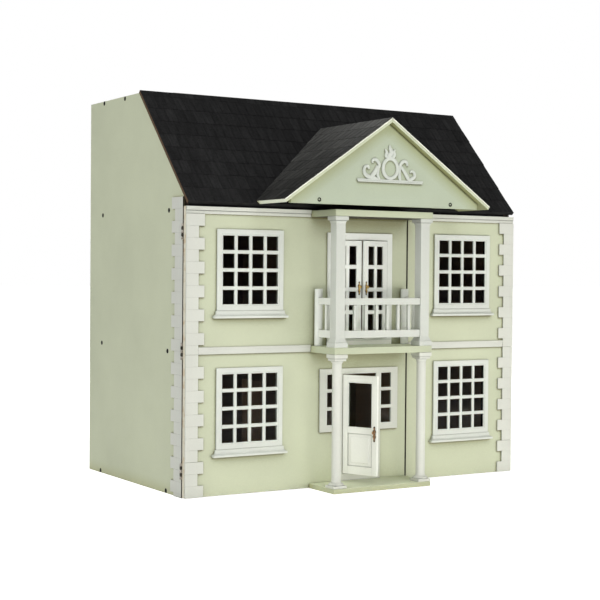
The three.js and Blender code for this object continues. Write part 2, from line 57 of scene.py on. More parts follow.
def tree_of(name):
    material = bpy.data.materials.new(name)
    material.use_nodes = True
    tree = material.node_tree
    return material, tree, tree.nodes["Principled BSDF"]


def noise(tree, scale, detail=3.0, roughness=0.5, stretch=(1, 1, 1)):
    """Noise over the object's own coordinates; scale is cells per metre."""
    coords = tree.nodes.new("ShaderNodeTexCoord")
    mapping = tree.nodes.new("ShaderNodeMapping")
    mapping.inputs["Scale"].default_value = stretch
    cells = tree.nodes.new("ShaderNodeTexNoise")
    cells.inputs["Scale"].default_value = scale
    cells.inputs["Detail"].default_value = detail
    cells.inputs["Roughness"].default_value = roughness
    tree.links.new(coords.outputs["Object"], mapping.inputs["Vector"])
    tree.links.new(mapping.outputs["Vector"], cells.inputs["Vector"])
    return cells.outputs["Fac"]


def ramp(tree, factor, first, last):
    """A colour that runs between two (place, colour) stops."""
    node = tree.nodes.new("ShaderNodeValToRGB")
    for element, (place, colour) in zip(node.color_ramp.elements, (first, last)):
        element.position = place
        element.color = (*colour, 1)
    tree.links.new(factor, node.inputs["Fac"])
    return node.outputs["Color"]


def mix(tree, factor, a, b, mode="MIX"):
    """a and b are sockets or colours; factor is a socket or a number."""
    node = tree.nodes.new("ShaderNodeMix")
    node.data_type = "RGBA"
    node.blend_type = mode
    for socket, value in ((node.inputs["Factor"], factor), (node.inputs["A"], a), (node.inputs["B"], b)):
        if isinstance(value, bpy.types.NodeSocket):
            tree.links.new(value, socket)
        elif isinstance(value, tuple):
            socket.default_value = (*value, 1)
        else:
            socket.default_value = value
    return node.outputs["Result"]


def times(tree, colour, factor):
    return mix(tree, 1.0, colour, factor, "MULTIPLY")


def grey(value):
    return (value, value, value)


def bumps(tree, shader, *layers):
    """Each layer is (height socket, strength, distance in metres)."""
    normal = None
    for height, strength, distance in layers:
        node = tree.nodes.new("ShaderNodeBump")
        node.inputs["Strength"].default_value = strength
        node.inputs["Distance"].default_value = distance
        tree.links.new(height, node.inputs["Height"])
        if normal is not None:
            tree.links.new(normal, node.inputs["Normal"])
        normal = node.outputs["Normal"]
    tree.links.new(normal, shader.inputs["Normal"])


def facing(tree, axis):
    """1 on faces that look along the axis in the object's own space, else 0."""
    coords = tree.nodes.new("ShaderNodeTexCoord")
    dot = tree.nodes.new("ShaderNodeVectorMath")
    dot.operation = "DOT_PRODUCT"
    dot.inputs[1].default_value = axis
    tree.links.new(coords.outputs["Normal"], dot.inputs[0])
    sharp = tree.nodes.new("ShaderNodeMath")
    sharp.operation = "GREATER_THAN"
    sharp.inputs[1].default_value = 0.6
    tree.links.new(dot.outputs["Value"], sharp.inputs[0])
    return sharp.outputs["Value"]


OLIVE_SHADE, NEUTRAL_SHADE = (1, 0.96, 0.74), (1, 1, 0.98)
SHADE_SPAN = (0.45, 0.93)      # the openness at which the shade is deepest, and where it ends


def painted_shade(tree, colour, depth, darkest, lean=None, tint=OLIVE_SHADE, span=SHADE_SPAN):
    """Paints shade into a colour where surfaces meet; an upward lean paints it most under a ledge."""
    shade = tree.nodes.new("ShaderNodeAmbientOcclusion")
    shade.samples = 4
    shade.inputs["Distance"].default_value = depth
    if lean:
        surface = tree.nodes.new("ShaderNodeNewGeometry")
        tilt = tree.nodes.new("ShaderNodeVectorMath")
        tilt.inputs[1].default_value = lean
        tree.links.new(surface.outputs["Normal"], tilt.inputs[0])
        tree.links.new(tilt.outputs["Vector"], shade.inputs["Normal"])
    deep = tuple(darkest * part for part in tint)
    return times(tree, colour, ramp(tree, shade.outputs["AO"], (span[0], deep), (span[1], grey(1.0))))


MDF_LIGHT, MDF_DARK = (0.36, 0.235, 0.135), (0.235, 0.14, 0.07)


def mdf_colour(tree, light=MDF_LIGHT, dark=MDF_DARK):
    fibres = noise(tree, 420, 4, 0.7)
    patches = noise(tree, 14, 2)
    tone = ramp(tree, fibres, (0.3, dark), (0.7, light))
    return mix(tree, patches, tone, tuple(0.6 * a + 0.4 * b for a, b in zip(light, dark)))


def painted_shadow_edge(tree):
    """Near-black painted shade for a board's face that sits in a gap or faces down."""
    return ramp(tree, noise(tree, 60), (0.3, (0.014, 0.010, 0.006)), (0.7, (0.035, 0.024, 0.014)))


def thin_edge(tree):
    """A board's edge where the paint is thin and the tan board shows."""
    return ramp(tree, noise(tree, 90), (0.3, (0.58, 0.47, 0.32)), (0.5, (0.70, 0.67, 0.54)))


def painted_top_light(tree):
    """Painted light: paler paint on an upper face, where the light falls."""
    return ramp(tree, noise(tree, 9), (0.3, (0.80, 0.85, 0.62)), (0.7, (0.86, 0.91, 0.68)))


def paint(name, colour, roughness=0.5, bare=None, edge=None, edge_tone=painted_shadow_edge,
          broad=(0.025, 0.84), fine=(0.003, 0.5), lean=None, tint=OLIVE_SHADE, span=SHADE_SPAN):
    """Brushed satin paint on board.

    bare is the direction of an unpainted side, and edge that of a side with the look of edge_tone.
    broad and fine are the (reach, darkest) of its two shades, whose lean, tint and span crevices() takes.
    """
    material, tree, shader = tree_of(name)
    dark = tuple(c * 0.955 for c in colour)
    light = tuple(min(1.0, c * 1.03) for c in colour)
    tone = ramp(tree, noise(tree, 7), (0.3, dark), (0.7, light))
    speckle = noise(tree, 330, 2, 0.6)
    tone = times(tree, tone, ramp(tree, speckle, (0.3, grey(0.965)), (0.72, grey(1.0))))
    # Painted shade, fine and then broad, where surfaces meet and under ledges.
    tone = painted_shade(tree, painted_shade(tree, tone, *fine, lean, tint), *broad, lean, tint, span)
    for direction, raw in ((bare, mdf_colour), (edge, edge_tone)):
        if direction:
            tone = mix(tree, facing(tree, direction), tone, raw(tree))
    tree.links.new(tone, shader.inputs["Base Color"])
    gloss = ramp(tree, noise(tree, 40), (0.3, grey(roughness - 0.06)), (0.7, grey(roughness + 0.08)))
    tree.links.new(gloss, shader.inputs["Roughness"])
    shader.inputs["Specular IOR Level"].default_value = 0.35
    roller = noise(tree, 900, 2, 0.6)
    brush = noise(tree, 60, 4, 0.6, (9, 9, 1))
    bumps(tree, shader, (roller, 0.12, 0.0002), (brush, 0.10, 0.0003))
    return material


def white(name, colour, **look):
    """Glossier paint, whose shade stays neutral."""
    return paint(name, colour, 0.42, tint=NEUTRAL_SHADE, **look)


def mdf(name, light=MDF_LIGHT, dark=MDF_DARK):
    material, tree, shader = tree_of(name)
    # Painted shade where the board's surfaces meet.
    tree.links.new(painted_shade(tree, mdf_colour(tree, light, dark), 0.008, 0.6), shader.inputs["Base Color"])
    shader.inputs["Roughness"].default_value = 0.78
    bumps(tree, shader, (noise(tree, 700, 4, 0.7), 0.25, 0.0002))
    return material


def black_board(name):
    material, tree, shader = tree_of(name)
    tone = ramp(tree, noise(tree, 45, 4), (0.3, grey(0.006)), (0.75, grey(0.016)))
    tree.links.new(tone, shader.inputs["Base Color"])
    shader.inputs["Roughness"].default_value = 0.75
    shader.inputs["Specular IOR Level"].default_value = 0.25
    bumps(tree, shader, (noise(tree, 800), 0.3, 0.0002))
    return material


def painted_light_by_height(tree, low, high):
    """Painted light: dark at the low height, pale at the high one."""
    coords = tree.nodes.new("ShaderNodeTexCoord")
    parts = tree.nodes.new("ShaderNodeSeparateXYZ")
    scale = tree.nodes.new("ShaderNodeMapRange")
    scale.inputs["From Min"].default_value = low
    scale.inputs["From Max"].default_value = high
    tree.links.new(coords.outputs["Object"], parts.inputs[0])
    tree.links.new(parts.outputs["Z"], scale.inputs["Value"])
    return ramp(tree, scale.outputs["Result"], (0.0, grey(0.42)), (1.0, grey(1.25)))


def shingles(name, dark, light, streak, fade=None):
    """Charcoal shingles with streaks down the slope; each one's own tone is the mesh's tint attribute."""
    material, tree, shader = tree_of(name)
    tint = tree.nodes.new("ShaderNodeAttribute")
    tint.attribute_name = "tint"
    tone = mix(tree, tint.outputs["Fac"], dark, light)
    grit = ramp(tree, noise(tree, 520, 4, 0.75), (0.3, grey(0.72)), (0.75, grey(1.2)))
    streaks = ramp(tree, noise(tree, 210, 3, 0.6, streak), (0.35, grey(0.68)), (0.65, grey(1.3)))
    weather = ramp(tree, noise(tree, 5), (0.35, grey(0.88)), (0.7, grey(1.12)))
    for layer in (grit, streaks, weather):
        tone = times(tree, tone, layer)
    # A fade paints light that grows with height.
    if fade:
        tone = times(tree, tone, painted_light_by_height(tree, *fade))
    tree.links.new(tone, shader.inputs["Base Color"])
    gloss = ramp(tree, noise(tree, 200), (0.3, grey(0.62)), (0.7, grey(0.82)))
    tree.links.new(gloss, shader.inputs["Roughness"])
    shader.inputs["Specular IOR Level"].default_value = 0.22
    grains = noise(tree, 1100, 4, 0.75)
    ripples = noise(tree, 160, stretch=(1, 5, 1))
    bumps(tree, shader, (grains, 0.35, 0.0003), (ripples, 0.25, 0.0003))
    return material


def metal(name, colour, roughness, tarnish, metallic=1.0):
    material, tree, shader = tree_of(name)
    patches = noise(tree, 350, 4, 0.65)
    tree.links.new(ramp(tree, patches, (0.35, tarnish), (0.62, colour)), shader.inputs["Base Color"])
    gloss = ramp(tree, patches, (0.35, grey(roughness + 0.2)), (0.65, grey(roughness)))
    tree.links.new(gloss, shader.inputs["Roughness"])
    shader.inputs["Metallic"].default_value = metallic
    bumps(tree, shader, (noise(tree, 1500, 2), 0.15, 0.0001))
    return material


def clear_sheet(name):
    material, tree, shader = tree_of(name)
    shader.inputs["Base Color"].default_value = (0.9, 0.93, 0.92, 1)
    shader.inputs["Transmission Weight"].default_value = 1.0
    shader.inputs["IOR"].default_value = 1.16
    smears = ramp(tree, noise(tree, 30), (0.4, grey(0.02)), (0.8, grey(0.10)))
    tree.links.new(smears, shader.inputs["Roughness"])
    bumps(tree, shader, (noise(tree, 25, 1), 0.05, 0.001))
    return material


# The ledges' green is a darker copy of the wall green: painted shade on the slabs and entablature.
GREEN, SHADED_LEDGE_GREEN, OFF_WHITE = (0.588, 0.625, 0.456), (0.505, 0.543, 0.390), (0.655, 0.668, 0.605)
# A deep, upward-leaning, warm olive painted shade on the walls under slabs, sills and blocks.
SHADE_BENEATH_LEDGES = {"broad": (0.06, 0.36), "fine": (0.0045, 0.45), "lean": (0, 0, 0.7),
                "tint": (1, 0.92, 0.62), "span": (0.2, 0.78)}
GREEN_FRONT = paint("green_paint_front", GREEN, bare=(0, 1, 0), edge=(-1, 0, 0), edge_tone=thin_edge,
                    **SHADE_BENEATH_LEDGES)
# The meeting panel's left edge is near-black: a painted shadow in the joint between the front panels.
GREEN_MEETING = paint("green_paint_meeting", GREEN, bare=(0, 1, 0), edge=(-1, 0, 0), **SHADE_BENEATH_LEDGES)
# The side panels' front edges are near-black: painted shade in the gap behind the front panels.
GREEN_LEFT = paint("green_paint_left", GREEN, bare=(1, 0, 0), edge=(0, -1, 0))
GREEN_RIGHT = paint("green_paint_right", GREEN, bare=(-1, 0, 0), edge=(0, -1, 0))
GREEN_TOP = paint("green_paint_top", GREEN, bare=(0, 0, -1))
GREEN_BACK = paint("green_paint_back", GREEN, bare=(0, -1, 0))
GREEN_ALL = paint("green_paint", GREEN)
GREEN_EDGE = paint("green_paint_edge", (0.70, 0.735, 0.60))
# A pale strip along the dormer boards' front edge: a painted highlight.
HIGHLIGHT_LIP = paint("pale_worn_lip", (0.80, 0.82, 0.72))
# The slabs are the darker ledge green, with painted light on their upper faces.
GREEN_SLAB = paint("green_paint_slab", SHADED_LEDGE_GREEN, edge=(0, 0, 1), edge_tone=painted_top_light)
# The dormer boards' undersides are a dark olive: painted shade.
GREEN_SHADED_UNDERSIDE = paint("green_paint_under", (0.33, 0.345, 0.19))
# The entablature is the darker ledge green, its underside near-black: painted shade.
GREEN_HEAD = paint("green_paint_head", SHADED_LEDGE_GREEN, edge=(0, 0, -1))
# The gable is a darker, bluer copy of the wall green, which is painted shade, and its upward-leaning
# painted shade darkens the board under the scrollwork.
GREEN_GABLE = paint("green_paint_gable", (0.468, 0.525, 0.405), fine=(0.0045, 0.30), lean=(0, 0, 0.7))
WHITE_ALL = white("white_paint", OFF_WHITE)
# A lighter copy of the white, with less painted shade: painted light on the French doors and the side
# railings.
WHITE_PAINTED_LIGHT = white("white_paint_bright", (0.800, 0.822, 0.770), broad=(0.025, 0.95))
WHITE_WINDOW = white("white_paint_windows", (0.672, 0.700, 0.645))
WHITE_ORNAMENT = white("white_paint_ornament", (0.610, 0.645, 0.590))
# A darker copy of the white: painted shade on the front railing and the square columns.
PORCH_WHITE_SHADED = white("white_paint_porch", (0.600, 0.622, 0.570))
# A much lighter copy of the white, with little painted shade: painted light on the French doors' threshold.
THRESHOLD_WHITE_LIT = white("white_paint_threshold", (0.95, 0.95, 0.89), broad=(0.01, 1.0), fine=(0.002, 0.9))
# A lighter copy of the white: painted light on the front door.
DOOR_WHITE_LIT = white("white_paint_door", (0.86, 0.868, 0.805))
# The side blocks' front ends are near-black: painted shade in the gap behind the front panels.
WHITE_QUOIN = white("white_paint_side_blocks", OFF_WHITE, edge=(0, -1, 0))
BARE = mdf("bare_board")
BLACK = black_board("black_board")
SHINGLE = shingles("charcoal_shingle", (0.0130, 0.0130, 0.0133), (0.0200, 0.0200, 0.0203), (1, 0.12, 0.12))
# The dormer's shingles are a lighter copy of the charcoal, painted light, and paler higher up with more
# painted light.
DORMER_SHINGLE_LIT = shingles("worn_shingle", (0.066, 0.066, 0.062), (0.098, 0.098, 0.092), (0.12, 1, 0.12),
                        (0.54, 0.67))
BRASS = metal("worn_brass", (0.86, 0.60, 0.20), 0.28, (0.36, 0.22, 0.07), 0.6)
BRONZE = metal("worn_bronze", (0.58, 0.35, 0.19), 0.28, (0.17, 0.09, 0.05), 0.75)
TARNISH = metal("tarnished_edge", (0.10, 0.06, 0.03), 0.45, (0.035, 0.022, 0.014))
STEEL = metal("hinge_metal", (0.70, 0.67, 0.61), 0.32, (0.24, 0.21, 0.17), 0.8)
DARK_STEEL = metal("dark_hinge_metal", (0.13, 0.12, 0.105), 0.42, (0.04, 0.035, 0.03))
IRON = black_board("blackened_screw")
ROOF_EDGE = mdf("roof_edge_board", (0.13, 0.075, 0.038), (0.055, 0.03, 0.015))
CLEAR = clear_sheet("clear_acrylic")

# ------------ CAD nodes' finishes

FINISHES = {"base_board": BARE, "middle_floor": BARE, "attic_floor": BARE, "eaves_rail": BLACK,
            "left_side_panel": GREEN_LEFT, "right_side_panel": GREEN_RIGHT, "top_panel": GREEN_TOP,
            "back_panel": GREEN_BACK, "left_front_panel": GREEN_FRONT, "right_front_panel": GREEN_MEETING,
            "pediment_board": GREEN_GABLE, "porch_base": GREEN_SLAB, "balcony_floor": GREEN_SLAB,
            "entablature": GREEN_HEAD, "balcony_front_railing": PORCH_WHITE_SHADED,
            "balcony_left_railing": WHITE_PAINTED_LIGHT, "balcony_right_railing": WHITE_PAINTED_LIGHT,
            "front_door_handle": BRASS}


def finish_for(name):
    if "glass" in name:
        return CLEAR
    if "hinge" in name:
        return STEEL
    if "partition" in name:
        return BARE
    if "french" in name:
        return WHITE_PAINTED_LIGHT
    return FINISHES.get(name, WHITE_ALL)


def round_edges(obj, width):
    bevel = obj.modifiers.new("soft_edges", "BEVEL")
    bevel.width = width
    bevel.segments = 2
    bevel.limit_method = "ANGLE"
    bevel.angle_limit = radians(40)


def soften(obj, width):
    """Rounds a CAD object's sharp edges a little, once its coplanar facets are joined."""
    weld = obj.modifiers.new("weld", "WELD")
    weld.merge_threshold = 0.00002
    flat = obj.modifiers.new("flat", "DECIMATE")
    flat.decimate_type = "DISSOLVE"
    flat.angle_limit = radians(1)
    round_edges(obj, width)


for name, node in NODES.items():
    node.data.materials.clear()
    node.data.materials.append(finish_for(name))
    if "glass" not in name and "hinge" not in name:
        soften(node, 0.5 * MM)

# ------------ mesh helpers


def add_object(name, data):
    obj = bpy.data.objects.new(name, data)
    SCENE.collection.objects.link(obj)
    return obj


def new_piece(name, bm, materials, body, replaces=(), bevel=None, smooth=35):
    """Makes an object of bm, gives it its materials, and lets it ride on a CAD body."""
    bmesh.ops.recalc_face_normals(bm, faces=bm.faces)
    mesh = bpy.data.meshes.new(name)
    bm.to_mesh(mesh)
    bm.free()
    for material in materials:
        mesh.materials.append(material)
    obj = add_object(name, mesh)
    if bevel:
        round_edges(obj, bevel)
    else:
        for face in mesh.polygons:
            face.use_smooth = True
        mesh.set_sharp_from_angle(angle=radians(smooth))
    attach(obj, body)
    if replaces:
        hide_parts(*replaces)
    return obj


def skin(bm, rings, slot=0, closed=False):
    """Joins loops of points, each one the same length, and caps the ends unless the run is closed."""
    loops = [[bm.verts.new(p) for p in ring] for ring in rings]
    pairs = list(zip(loops, loops[1:])) + ([(loops[-1], loops[0])] if closed else [])
    faces = []
    for a, b in pairs:
        for i in range(len(a)):
            j = (i + 1) % len(a)
            faces.append(bm.faces.new((a[i], a[j], b[j], b[i])))
    if not closed:
        faces += [bm.faces.new(loops[0][::-1]), bm.faces.new(loops[-1])]
    for face in faces:
        face.material_index = slot
    return faces


def slab(bm, low, high, slot=0, place=Matrix()):
    corners = [(low[0], low[1]), (high[0], low[1]), (high[0], high[1]), (low[0], high[1])]
    skin(bm, [[place @ Vector((x, y, z)) for x, y in corners] for z in (low[2], high[2])], slot)


def around(count):
    """The (cosine, sine) of a circle's even steps."""
    turns = [2 * pi * i / count for i in range(count)]
    return [(cos(turn), sin(turn)) for turn in turns]


def turned(bm, profile, place, segments, slot=0):
    """A profile of (radius, height) turned about the place's own Z axis."""
    skin(bm, [[place @ Vector((r * c, r * s, h)) for c, s in around(segments)] for r, h in profile], slot)


def square_rings(profile, x, y):
    """Rings of a square-section moulding, from (half-width, height) points."""
    return [[Vector((x + sx * r, y + sy * r, z)) for sx, sy in ((-1, -1), (1, -1), (1, 1), (-1, 1))]
            for r, z in profile]


def rectangle(x, z, inset):
    """The four (x, z) corners of an upright rectangle, moved in by the inset."""
    return [(x[0] + inset, z[0] + inset), (x[1] - inset, z[0] + inset),
            (x[1] - inset, z[1] - inset), (x[0] + inset, z[1] - inset)]


def framing(bm, place, x, z, profile):
    """A mitred rectangular moulding; profile is (inset, depth) points, round from outside to inside."""
    skin(bm, [[place @ Vector((u, depth, v)) for u, v in rectangle(x, z, inset)]
              for inset, depth in profile], closed=True)


def smooth_path(points, steps=8):
    """A Catmull-Rom curve through 2-D points, with any further numbers carried along."""
    ends = [points[0], *points, points[-1]]
    out = []
    for p0, p1, p2, p3 in zip(ends, ends[1:], ends[2:], ends[3:]):
        for k in range(steps):
            t = k / steps
            out.append(tuple(0.5 * (2 * b + (c - a) * t + (2 * a - 5 * b + 4 * c - d) * t * t
                                    + (3 * b - a - 3 * c + d) * t ** 3)
                             for a, b, c, d in zip(p0, p1, p2, p3)))
    return [*out, tuple(points[-1])]


# ------------ fasteners

BACK_SCREWS_X = (-0.33, -0.11, 0.11, 0.33)
BACK_SCREWS_Z = (0.005, 0.2585, 0.5125, 0.7325)
SIDE_SCREWS = ((371, 733), (272, 732.5), (375, 512), (77, 512), (377, 259), (80, 258), (380, 4.5),
               (83, 4.5))
PEDIMENT_SCREWS_X, PEDIMENT_SCREWS_UP = (-149, 143.5), 7.5 * MM


def screw(bm, place, radius=4.3 * MM):
    """A cross-head screw whose axis is the place's +Z; slot 0 is its head and slot 1 its cross."""
    turned(bm, [(radius, -0.2 * MM), (radius, 0.12 * MM), (radius * 0.86, 0.3 * MM),
                (radius * 0.3, 0.34 * MM)], place, 20)
    for w, h in ((0.62, 0.14), (0.14, 0.62)):
        slab(bm, (-radius * w, -radius * h, 0.30 * MM), (radius * w, radius * h, 0.42 * MM), 1, place)


def looking(point, direction):
    """A frame at the point whose +Z is the direction."""
    return Matrix.Translation(point) @ Vector(direction).to_track_quat("Z", "Y").to_matrix().to_4x4()


TRIM_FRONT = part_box("left_front_quoins")[0].y      # the side screws' distances run back from here
for side, name in ((-1, "left"), (1, "right")):
    low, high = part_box(f"{name}_side_panel")
    face = low.x if side < 0 else high.x
    bm = bmesh.new()
    for y, z in SIDE_SCREWS:
        screw(bm, looking((face, TRIM_FRONT + y * MM, z * MM), (side, 0, 0)))
    new_piece(f"{name}_side_screws", bm, [IRON, BLACK], "house")

back_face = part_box("back_panel")[1].y
bm = bmesh.new()
for x in BACK_SCREWS_X:
    for z in BACK_SCREWS_Z:
        screw(bm, looking((x, back_face - 0.45 * MM, z), (0, 1, 0)), 2.3 * MM)
new_piece("back_screws", bm, [IRON, BLACK], "house")

gable_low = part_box("pediment_board")[0]
bm = bmesh.new()
for x in PEDIMENT_SCREWS_X:
    place = looking((x * MM, gable_low.y, gable_low.z + PEDIMENT_SCREWS_UP), (0, -1, 0))
    turned(bm, [(3.8 * MM, -0.2 * MM), (3.8 * MM, 0.25 * MM), (3.0 * MM, 0.45 * MM)], place, 24)
    turned(bm, [(1.5 * MM, -0.2 * MM), (1.5 * MM, 0.6 * MM), (0.6 * MM, 0.8 * MM)],
           place @ Matrix.Translation((-0.7 * MM, 0.2 * MM, 0)), 16, 1)
new_piece("pediment_screws", bm, [IRON, GREEN_GABLE], "roof")

# ------------ roof

SLOPE = radians(46.5)
ROOF_T, SKIN, COURSE, TILE = 7 * MM, 1 * MM, 35.3 * MM, 19.2 * MM
ROOF_JOINT, DORMER_JOINT, NARROWEST = 1.2 * MM, 2.0 * MM, 1.5 * MM
THIN_END, TAPER = 0.22 * MM, 0.78 * MM      # a shingle's least thickness, and what a full course adds
roof_low, roof_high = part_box("roof_board")
DOWN = Vector((0, -cos(SLOPE), -sin(SLOPE)))
OUT = Vector((0, -sin(SLOPE), cos(SLOPE)))
RIDGE = Vector((0, roof_high.y, roof_high.z - ROOF_T * cos(SLOPE)))     # underside, at the ridge
ROOF_L = (roof_high.z - roof_low.z - ROOF_T * cos(SLOPE)) / sin(SLOPE)


def clip(polygon, inside):
    """Cuts a convex polygon of 2-D points by a line; inside(point) is positive on the side kept."""
    out = []
    for a, b in zip(polygon, polygon[1:] + polygon[:1]):
        da, db = inside(a), inside(b)
        if da >= 0:
            out.append(a)
        if (da < 0) != (db < 0):
            t = da / (da - db)
            out.append((a[0] + (b[0] - a[0]) * t, a[1] + (b[1] - a[1]) * t))
    return out


def tiles_across(span, phase, joint):
    """The two edges of each shingle in a course that starts phase of a shingle along."""
    start = span[0] + (phase - 1.5) * TILE
    lefts = [start + k * TILE for k in range(ceil((span[1] - start) / TILE))]
    tiles = [(max(left + joint / 2, span[0]), min(left + TILE - joint / 2, span[1])) for left in lefts]
    return [(a, b) for a, b in tiles if b - a >= NARROWEST]


def tile_top(shape, top, middle, deck, spot):
    """A shingle's upper face, which thickens down the slope and leans a little of its own."""
    rise = rng.uniform(-0.1, 0.0) * MM
    tilt = rng.uniform(-0.06, 0.06) * MM
    points = []
    for across, along in shape:
        part = (along - top) / COURSE
        lift = THIN_END + (TAPER + rise) * part + tilt * (across - middle) / TILE
        points.append(spot(across, along, deck + min(lift, SKIN)))
    return points


def lay_shingles(name, span, length, spot, deck, phase, material, joint, keep=None):
    """Courses of tapered shingles. spot(across, along, out) is a point, and along runs down the slope."""
    bm = bmesh.new()
    tints = []
    course = 0
    low = length
    while low > 2 * MM:
        top = max(low - COURSE, 0)
        for a, b in tiles_across(span, phase + 0.5 * (course % 2), joint):
            lip = low - rng.uniform(0, 0.5 * MM) if course else low
            shape = [(a, top), (b, top), (b, lip), (a, lip)]
            if keep:
                shape = clip(shape, keep)
            if len(shape) < 3:
                continue
            bottom = [spot(u, v, deck - 0.3 * MM) for u, v in shape]
            skin(bm, [bottom, tile_top(shape, top, (a + b) / 2, deck, spot)])
            tints += [rng.random() ** 1.3] * (2 * len(shape))
        low -= COURSE
        course += 1
    obj = new_piece(name, bm, [material], "roof", smooth=1)
    layer = obj.data.attributes.new("tint", "FLOAT", "POINT")
    layer.data.foreach_set("value", tints)


def roof_spot(x, along, out):
    return RIDGE + Vector((x, 0, 0)) + DOWN * along + OUT * out


bm = bmesh.new()
roof_deck = ROOF_T - SKIN
outline = ((0, 0), (ROOF_L, 0), (ROOF_L, roof_deck), (0, roof_deck))
faces = skin(bm, [[roof_spot(x, along, out) for along, out in outline] for x in (roof_low.x, roof_high.x)])
underside, eave, upper_face = faces[:3]
underside.material_index = 2
eave.material_index = upper_face.material_index = 1
new_piece("roof_deck", bm, [ROOF_EDGE, BLACK, BARE], "roof", ["roof_board"])
lay_shingles("roof_shingles", (roof_low.x, roof_high.x), ROOF_L, roof_spot, roof_deck, 0.24, SHINGLE,
             ROOF_JOINT)

DORMER_T = 8 * MM
DORMER_DECK = DORMER_T - SKIN
dormer_low, dormer_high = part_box("left_dormer_board")
APEX = dormer_high.z + 0.1 * MM
PITCH = atan(0.6819)
DORMER_L = -dormer_low.x / cos(PITCH)
roof_top = RIDGE + OUT * ROOF_T
CENTRE_GAP = 0.15 * MM      # half the joint between the two dormer boards
LIP_RUN = Vector((cos(PITCH), 0, sin(PITCH))) * (DORMER_L - 1 * MM)      # from the foot up to the apex


def roof_plane_y(z):
    """Where the main roof's upper surface is, at a height."""
    return roof_top.y - (roof_top.z - z) / tan(SLOPE)


def dormer_spot(side):
    def spot(y, along, out):
        rise = out - DORMER_T
        x = along * cos(PITCH) + rise * sin(PITCH)
        z = APEX - along * sin(PITCH) + rise * cos(PITCH)
        return Vector((side * max(x, CENTRE_GAP), y, z))
    return spot


def in_front(p):
    """Positive where a dormer point, (y, along), is in front of the main roof."""
    return roof_plane_y(APEX - p[1] * sin(PITCH)) - p[0]


def at_depth(points, depth):
    return [Vector((p.x, dormer_low.y + depth, p.z)) for p in points]


for side, name in ((-1, "left"), (1, "right")):
    spot = dormer_spot(side)
    foot = [spot(0, DORMER_L, out) for out in (0, DORMER_DECK)]
    head = [Vector((side * CENTRE_GAP, 0, APEX - (DORMER_T - out) / cos(PITCH)))
            for out in (DORMER_DECK, 0)]
    loop = foot + head
    bm = bmesh.new()
    faces = skin(bm, [at_depth(loop, 0.25 * MM),
                      [Vector((p.x, roof_plane_y(p.z) - 0.2 * MM, p.z)) for p in loop]])
    # The underside takes the dark olive painted shade.
    for face, finish in ((faces[0], 1), (faces[1], 4), (faces[3], 2)):      # the foot, top and underside
        face.material_index = finish
    # A pale strip along the upper edge of the front face: a painted highlight.
    lip = [spot(0, DORMER_L, DORMER_DECK - drop * MM) for drop in (2.4, 0.1)]
    lip += [p + LIP_RUN * Vector((-side, 1, 1)) for p in lip[::-1]]
    skin(bm, [at_depth(lip, depth) for depth in (0, 0.4 * MM)], 3)
    new_piece(f"{name}_dormer_deck", bm, [GREEN_ALL, GREEN_EDGE, GREEN_SHADED_UNDERSIDE, HIGHLIGHT_LIP, BLACK], "roof",
              [f"{name}_dormer_board"])
    lay_shingles(f"{name}_dormer_shingles", (dormer_low.y, dormer_high.y), DORMER_L, spot, DORMER_DECK, 0.1,
                 DORMER_SHINGLE_LIT, DORMER_JOINT, in_front)

# ------------ pediment ornament

ORNAMENT_FOOT = Vector((4 * MM, gable_low.y - 0.05 * MM, gable_low.z + 43 * MM))
BAND_STEPS = 8
STROKES = (
    ((0, 43, 11), (-3, 49, 14), (2.5, 56, 12), (-0.5, 62, 9), (-2, 69, 4)),
    ((4, 45, 8), (8.5, 51, 8.5), (8, 57, 7), (10, 62, 4)),
    ((-5, 44, 8), (-10, 50, 8), (-8.5, 56, 7), (-12, 61, 4)),
    ((-25, 5, 7), (-28.5, 14, 8), (-27.5, 24, 8), (-25, 32, 8), (-29, 39, 8), (-35, 42, 8), (-40, 39, 6),
     (-39, 34.5, 4)),
    ((-29, 30, 7), (-33, 21, 10), (-39, 13, 11), (-45, 6, 10)),
    ((-28, 5, 6), (-38, 8, 10), (-50, 10, 10), (-57.5, 17, 8), (-57, 26, 7.5), (-50.5, 29, 7),
     (-47.5, 23.5, 5)),
    ((22, 5, 7), (20.5, 15, 8), (20.5, 25, 8), (23, 35, 8), (30, 41, 8), (37, 39, 7), (38, 32.5, 5)),
    ((23, 31, 7), (31, 23, 8), (38, 13, 9), (43, 5, 9)),
    ((40, 5, 8), (48, 9, 9), (54.5, 13.5, 8), (54, 20.5, 7), (48, 24, 6), (45, 20, 4)),
)
FOOT_BARS = ((72, 0, 2.2, 2.7), (73.5, 2.0, 5.6, 2.2))      # half-width, bottom, top, how far it stands out


def stroke(bm, points):
    """A raised, rounded band through (x, z, width) points in millimetres from the ornament's foot."""
    path = smooth_path([(x, z, width * 0.84) for x, z, width in points])
    rings = []
    for i, (x, z, width) in enumerate(path):
        a, b = path[max(i - 1, 0)], path[min(i + 1, len(path) - 1)]
        along = Vector((b[0] - a[0], 0, b[1] - a[1])).normalized()
        across = Vector((-along.z, 0, along.x))
        ring = []
        for k in range(BAND_STEPS + 1):
            turn = pi * k / BAND_STEPS
            lift = sin(turn) ** 0.6 * min(2.6, width * 0.55)
            point = Vector((x, -lift, z)) + across * (cos(turn) * width / 2)
            ring.append(ORNAMENT_FOOT + point * MM)
        rings.append(ring)
    skin(bm, rings)


def oval(rx, rz, cz, width):
    steps = around(28)
    return [(rx * c, cz + rz * s, width) for c, s in steps + steps[:1]]


